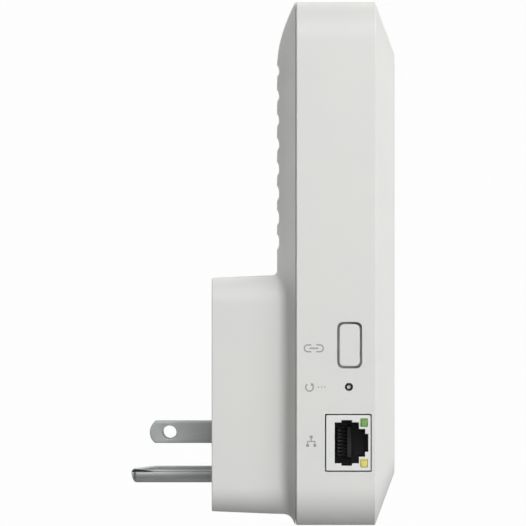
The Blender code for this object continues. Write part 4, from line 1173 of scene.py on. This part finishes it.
# Slot: how it is made, colour, the colour it is mottled with, lowest and highest
# roughness, the grain's pitch and relief, and where needed the mottling's scale,
# the grain's stretch and the values of further sockets
FINISHES = {
    "housing_white": (surface, (0.80, 0.80, 0.775), (0.785, 0.787, 0.77), (0.5, 0.6), 0.28, 0.012),
    "button_white": (surface, (0.80, 0.80, 0.78), (0.785, 0.785, 0.77), (0.42, 0.52), 0.25, 0.008),
    "jack_white": (surface, (0.85, 0.86, 0.84), (0.82, 0.84, 0.82), (0.35, 0.45), 0.4, 0.006),
    "prong_nickel": (
        metal, (0.52, 0.54, 0.535), (0.46, 0.48, 0.475), (0.5, 0.58), 0.12, 0.004, (1, 0.08, 1)
    ),
    # contact_gold: the wires' metal is dulled from gold to a dark grey-brown, painted shade of the
    # jack's cavity on them
    "contact_gold": (
        metal, (0.3, 0.285, 0.25), (0.24, 0.23, 0.2), (0.35, 0.5), 0.1, 0.002, (0.1, 1, 1)
    ),
    "window_green": (
        surface, (0.20, 0.45, 0.09), (0.25, 0.5, 0.13), (0.25, 0.35), 0.5, 0.01, 400.0, EVEN,
        {"Coat Weight": 0.3}
    ),
    # window_yellow: its faint emission is a painted glow that lifts the window's tone; the green window
    # has none
    "window_yellow": (
        surface, (0.82, 0.74, 0.13), (0.86, 0.78, 0.22), (0.25, 0.35), 0.5, 0.01, 400.0, EVEN,
        {"Coat Weight": 0.3, "Emission Color": (0.9, 0.8, 0.12, 1.0), "Emission Strength": 0.04}
    ),
    "board_green": (board, (0.012, 0.13, 0.05), (0.018, 0.16, 0.06)),
    "antenna_board": (board, (0.015, 0.12, 0.06), (0.02, 0.15, 0.07)),
    "switch_black": (surface, (0.012, 0.012, 0.013), (0.02, 0.02, 0.021), (0.4, 0.55), 0.2, 0.006),
    "plunger_white": (surface, (0.76, 0.76, 0.74), (0.72, 0.72, 0.70), (0.45, 0.6), 0.3, 0.006),
    "tinned_steel": (metal, (0.62, 0.62, 0.6), (0.52, 0.52, 0.5), (0.3, 0.5), 0.3, 0.006, (1, 1, 0.1)),
    "screw_steel": (metal, (0.58, 0.58, 0.56), (0.48, 0.48, 0.47), (0.3, 0.45), 0.15, 0.005),
    "sink_aluminium": (
        metal, (0.76, 0.76, 0.77), (0.68, 0.68, 0.69), (0.3, 0.45), 0.25, 0.006, (1, 1, 0.05)
    ),
    "ferrite": (surface, (0.035, 0.035, 0.04), (0.06, 0.06, 0.065), (0.5, 0.75), 0.2, 0.02),
    "winding_tape": (
        surface, (0.72, 0.5, 0.08), (0.62, 0.42, 0.06), (0.25, 0.45), 1.2, 0.03, 90.0, (0.2, 1, 1)
    ),
    "capacitor_sleeve": (
        surface, (0.02, 0.035, 0.08), (0.03, 0.05, 0.1), (0.2, 0.35), 0.8, 0.01, BLOTCH, EVEN,
        {"Coat Weight": 0.2}
    ),
    "carrier_black": (surface, (0.02, 0.02, 0.02), (0.035, 0.035, 0.035), (0.5, 0.65), 0.25, 0.01),
    "film_box": (surface, (0.65, 0.42, 0.05), (0.58, 0.37, 0.05), (0.35, 0.5), 0.3, 0.01),
    "fuse_ceramic": (surface, (0.72, 0.69, 0.62), (0.66, 0.63, 0.56), (0.3, 0.5), 0.4, 0.01),
    "insulating_film": (surface, (0.76, 0.75, 0.7), (0.7, 0.69, 0.64), (0.3, 0.45), 3.0, 0.03),
    "thermal_pad_grey": (surface, (0.34, 0.42, 0.5), (0.28, 0.36, 0.44), (0.75, 0.9), 0.35, 0.03),
    "light_guide_clear": (
        surface, (0.85, 0.87, 0.87), (0.8, 0.83, 0.83), (0.12, 0.25), 1.5, 0.01, BLOTCH, EVEN,
        {"Transmission Weight": 0.55, "IOR": 1.49}
    ),
    "led_package": (surface, (0.78, 0.74, 0.42), (0.7, 0.66, 0.4), (0.2, 0.35), 0.2, 0.005, 500.0),
    "lead_black": (surface, (0.015, 0.015, 0.015), (0.03, 0.03, 0.03), (0.4, 0.6), 0.3, 0.01),
    "legend_grey": (surface, (0.34, 0.34, 0.34), (0.39, 0.39, 0.39), (0.5, 0.65), 0.15, 0.003, 900.0),
}


def finish(slot):
    """The material of a slot, made the first time it is asked for."""
    name = slot + "_finish"
    make, *values = FINISHES[slot]
    return bpy.data.materials.get(name) or make(name, *values)


def finish_frame():
    """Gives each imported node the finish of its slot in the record."""
    for entry in frame["record"]["subparts"]:
        materials = frame["nodes"][entry["node"]].data.materials
        materials.clear()
        materials.append(finish(entry["material_slot"]))


# Stage


def make_floor():
    """A pale floor well below the part, which hangs on a wall in use."""
    shape = bmesh.new()
    bmesh.ops.create_circle(shape, cap_ends=True, segments=96, radius=FLOOR_RADIUS)
    mesh = bpy.data.meshes.new("floor")
    shape.to_mesh(mesh)
    shape.free()
    floor = bpy.data.objects.new("floor", mesh)
    floor.location = (0.0, 0.0, CAD_BOX[0].z - FLOOR_DROP)
    bpy.context.scene.collection.objects.link(floor)
    pale, paler = (0.53, 0.53, 0.53), (0.55, 0.55, 0.55)
    mesh.materials.append(surface("floor_pale", paler, pale, (0.7, 0.8), 2.0, 0.05, 3.0))


def make_light_panel(name, toward, distance, size, power):
    """A square soft light that faces the middle of the housing."""
    lamp = bpy.data.lights.new(name, "AREA")
    lamp.shape = "SQUARE"
    lamp.size = size
    lamp.energy = power
    made = bpy.data.objects.new(name, lamp)
    toward = Vector(toward).normalized()
    made.location = Vector((0.0, -FRONT_DEPTH / 2, MIDDLE_Z)) + toward * distance
    made.rotation_mode = "QUATERNION"
    made.rotation_quaternion = (-toward).to_track_quat("-Z", "Y")
    made.visible_camera = False
    bpy.context.scene.collection.objects.link(made)


def make_world():
    """An even white surround: bright behind the part, dimmer as a light."""
    world = bpy.data.worlds.new("studio")
    bpy.context.scene.world = world
    world.use_nodes = True
    tree = world.node_tree
    tree.nodes.clear()
    seen_sockets = {"Color": (1.0, 1.0, 1.0, 1.0), "Strength": SEEN_WHITE}
    seen = add_node(tree, "ShaderNodeBackground", seen_sockets)
    lit_sockets = {"Color": (0.98, 0.98, 1.0, 1.0), "Strength": AMBIENT}
    lit = add_node(tree, "ShaderNodeBackground", lit_sockets)
    path = add_node(tree, "ShaderNodeLightPath")
    sockets = {0: path.outputs["Is Camera Ray"], 1: lit.outputs[0], 2: seen.outputs[0]}
    mix = add_node(tree, "ShaderNodeMixShader", sockets)
    add_node(tree, "ShaderNodeOutputWorld", {"Surface": mix.outputs[0]})


def make_camera():
    """A level camera that faces the side with the controls."""
    camera = bpy.data.cameras.new("camera")
    camera.sensor_width = 36.0
    camera.lens = LENS
    camera.clip_start, camera.clip_end = 0.05, 20.0
    made = bpy.data.objects.new("camera", camera)
    made.location = (-HALF_WIDTH - CAMERA_DISTANCE, -CAMERA_DEPTH, MIDDLE_Z + EYE_LIFT)
    made.rotation_euler = (math.pi / 2, 0.0, -math.pi / 2)
    bpy.context.scene.collection.objects.link(made)
    bpy.context.scene.camera = made


def main():
    make_front_cover()
    make_back_cover()
    make_pair_button()
    make_reset_tip()
    make_jack()
    make_blades()
    make_ground_pin()
    print_link()
    print_turn()
    print_network()
    finish_frame()
    make_floor()
    for name, (toward, distance, size, power) in LIGHTING.items():
        make_light_panel(name, toward, distance, size, power)
    make_world()
    make_camera()
    bpy.context.scene.view_settings.view_transform = "Standard"


main()
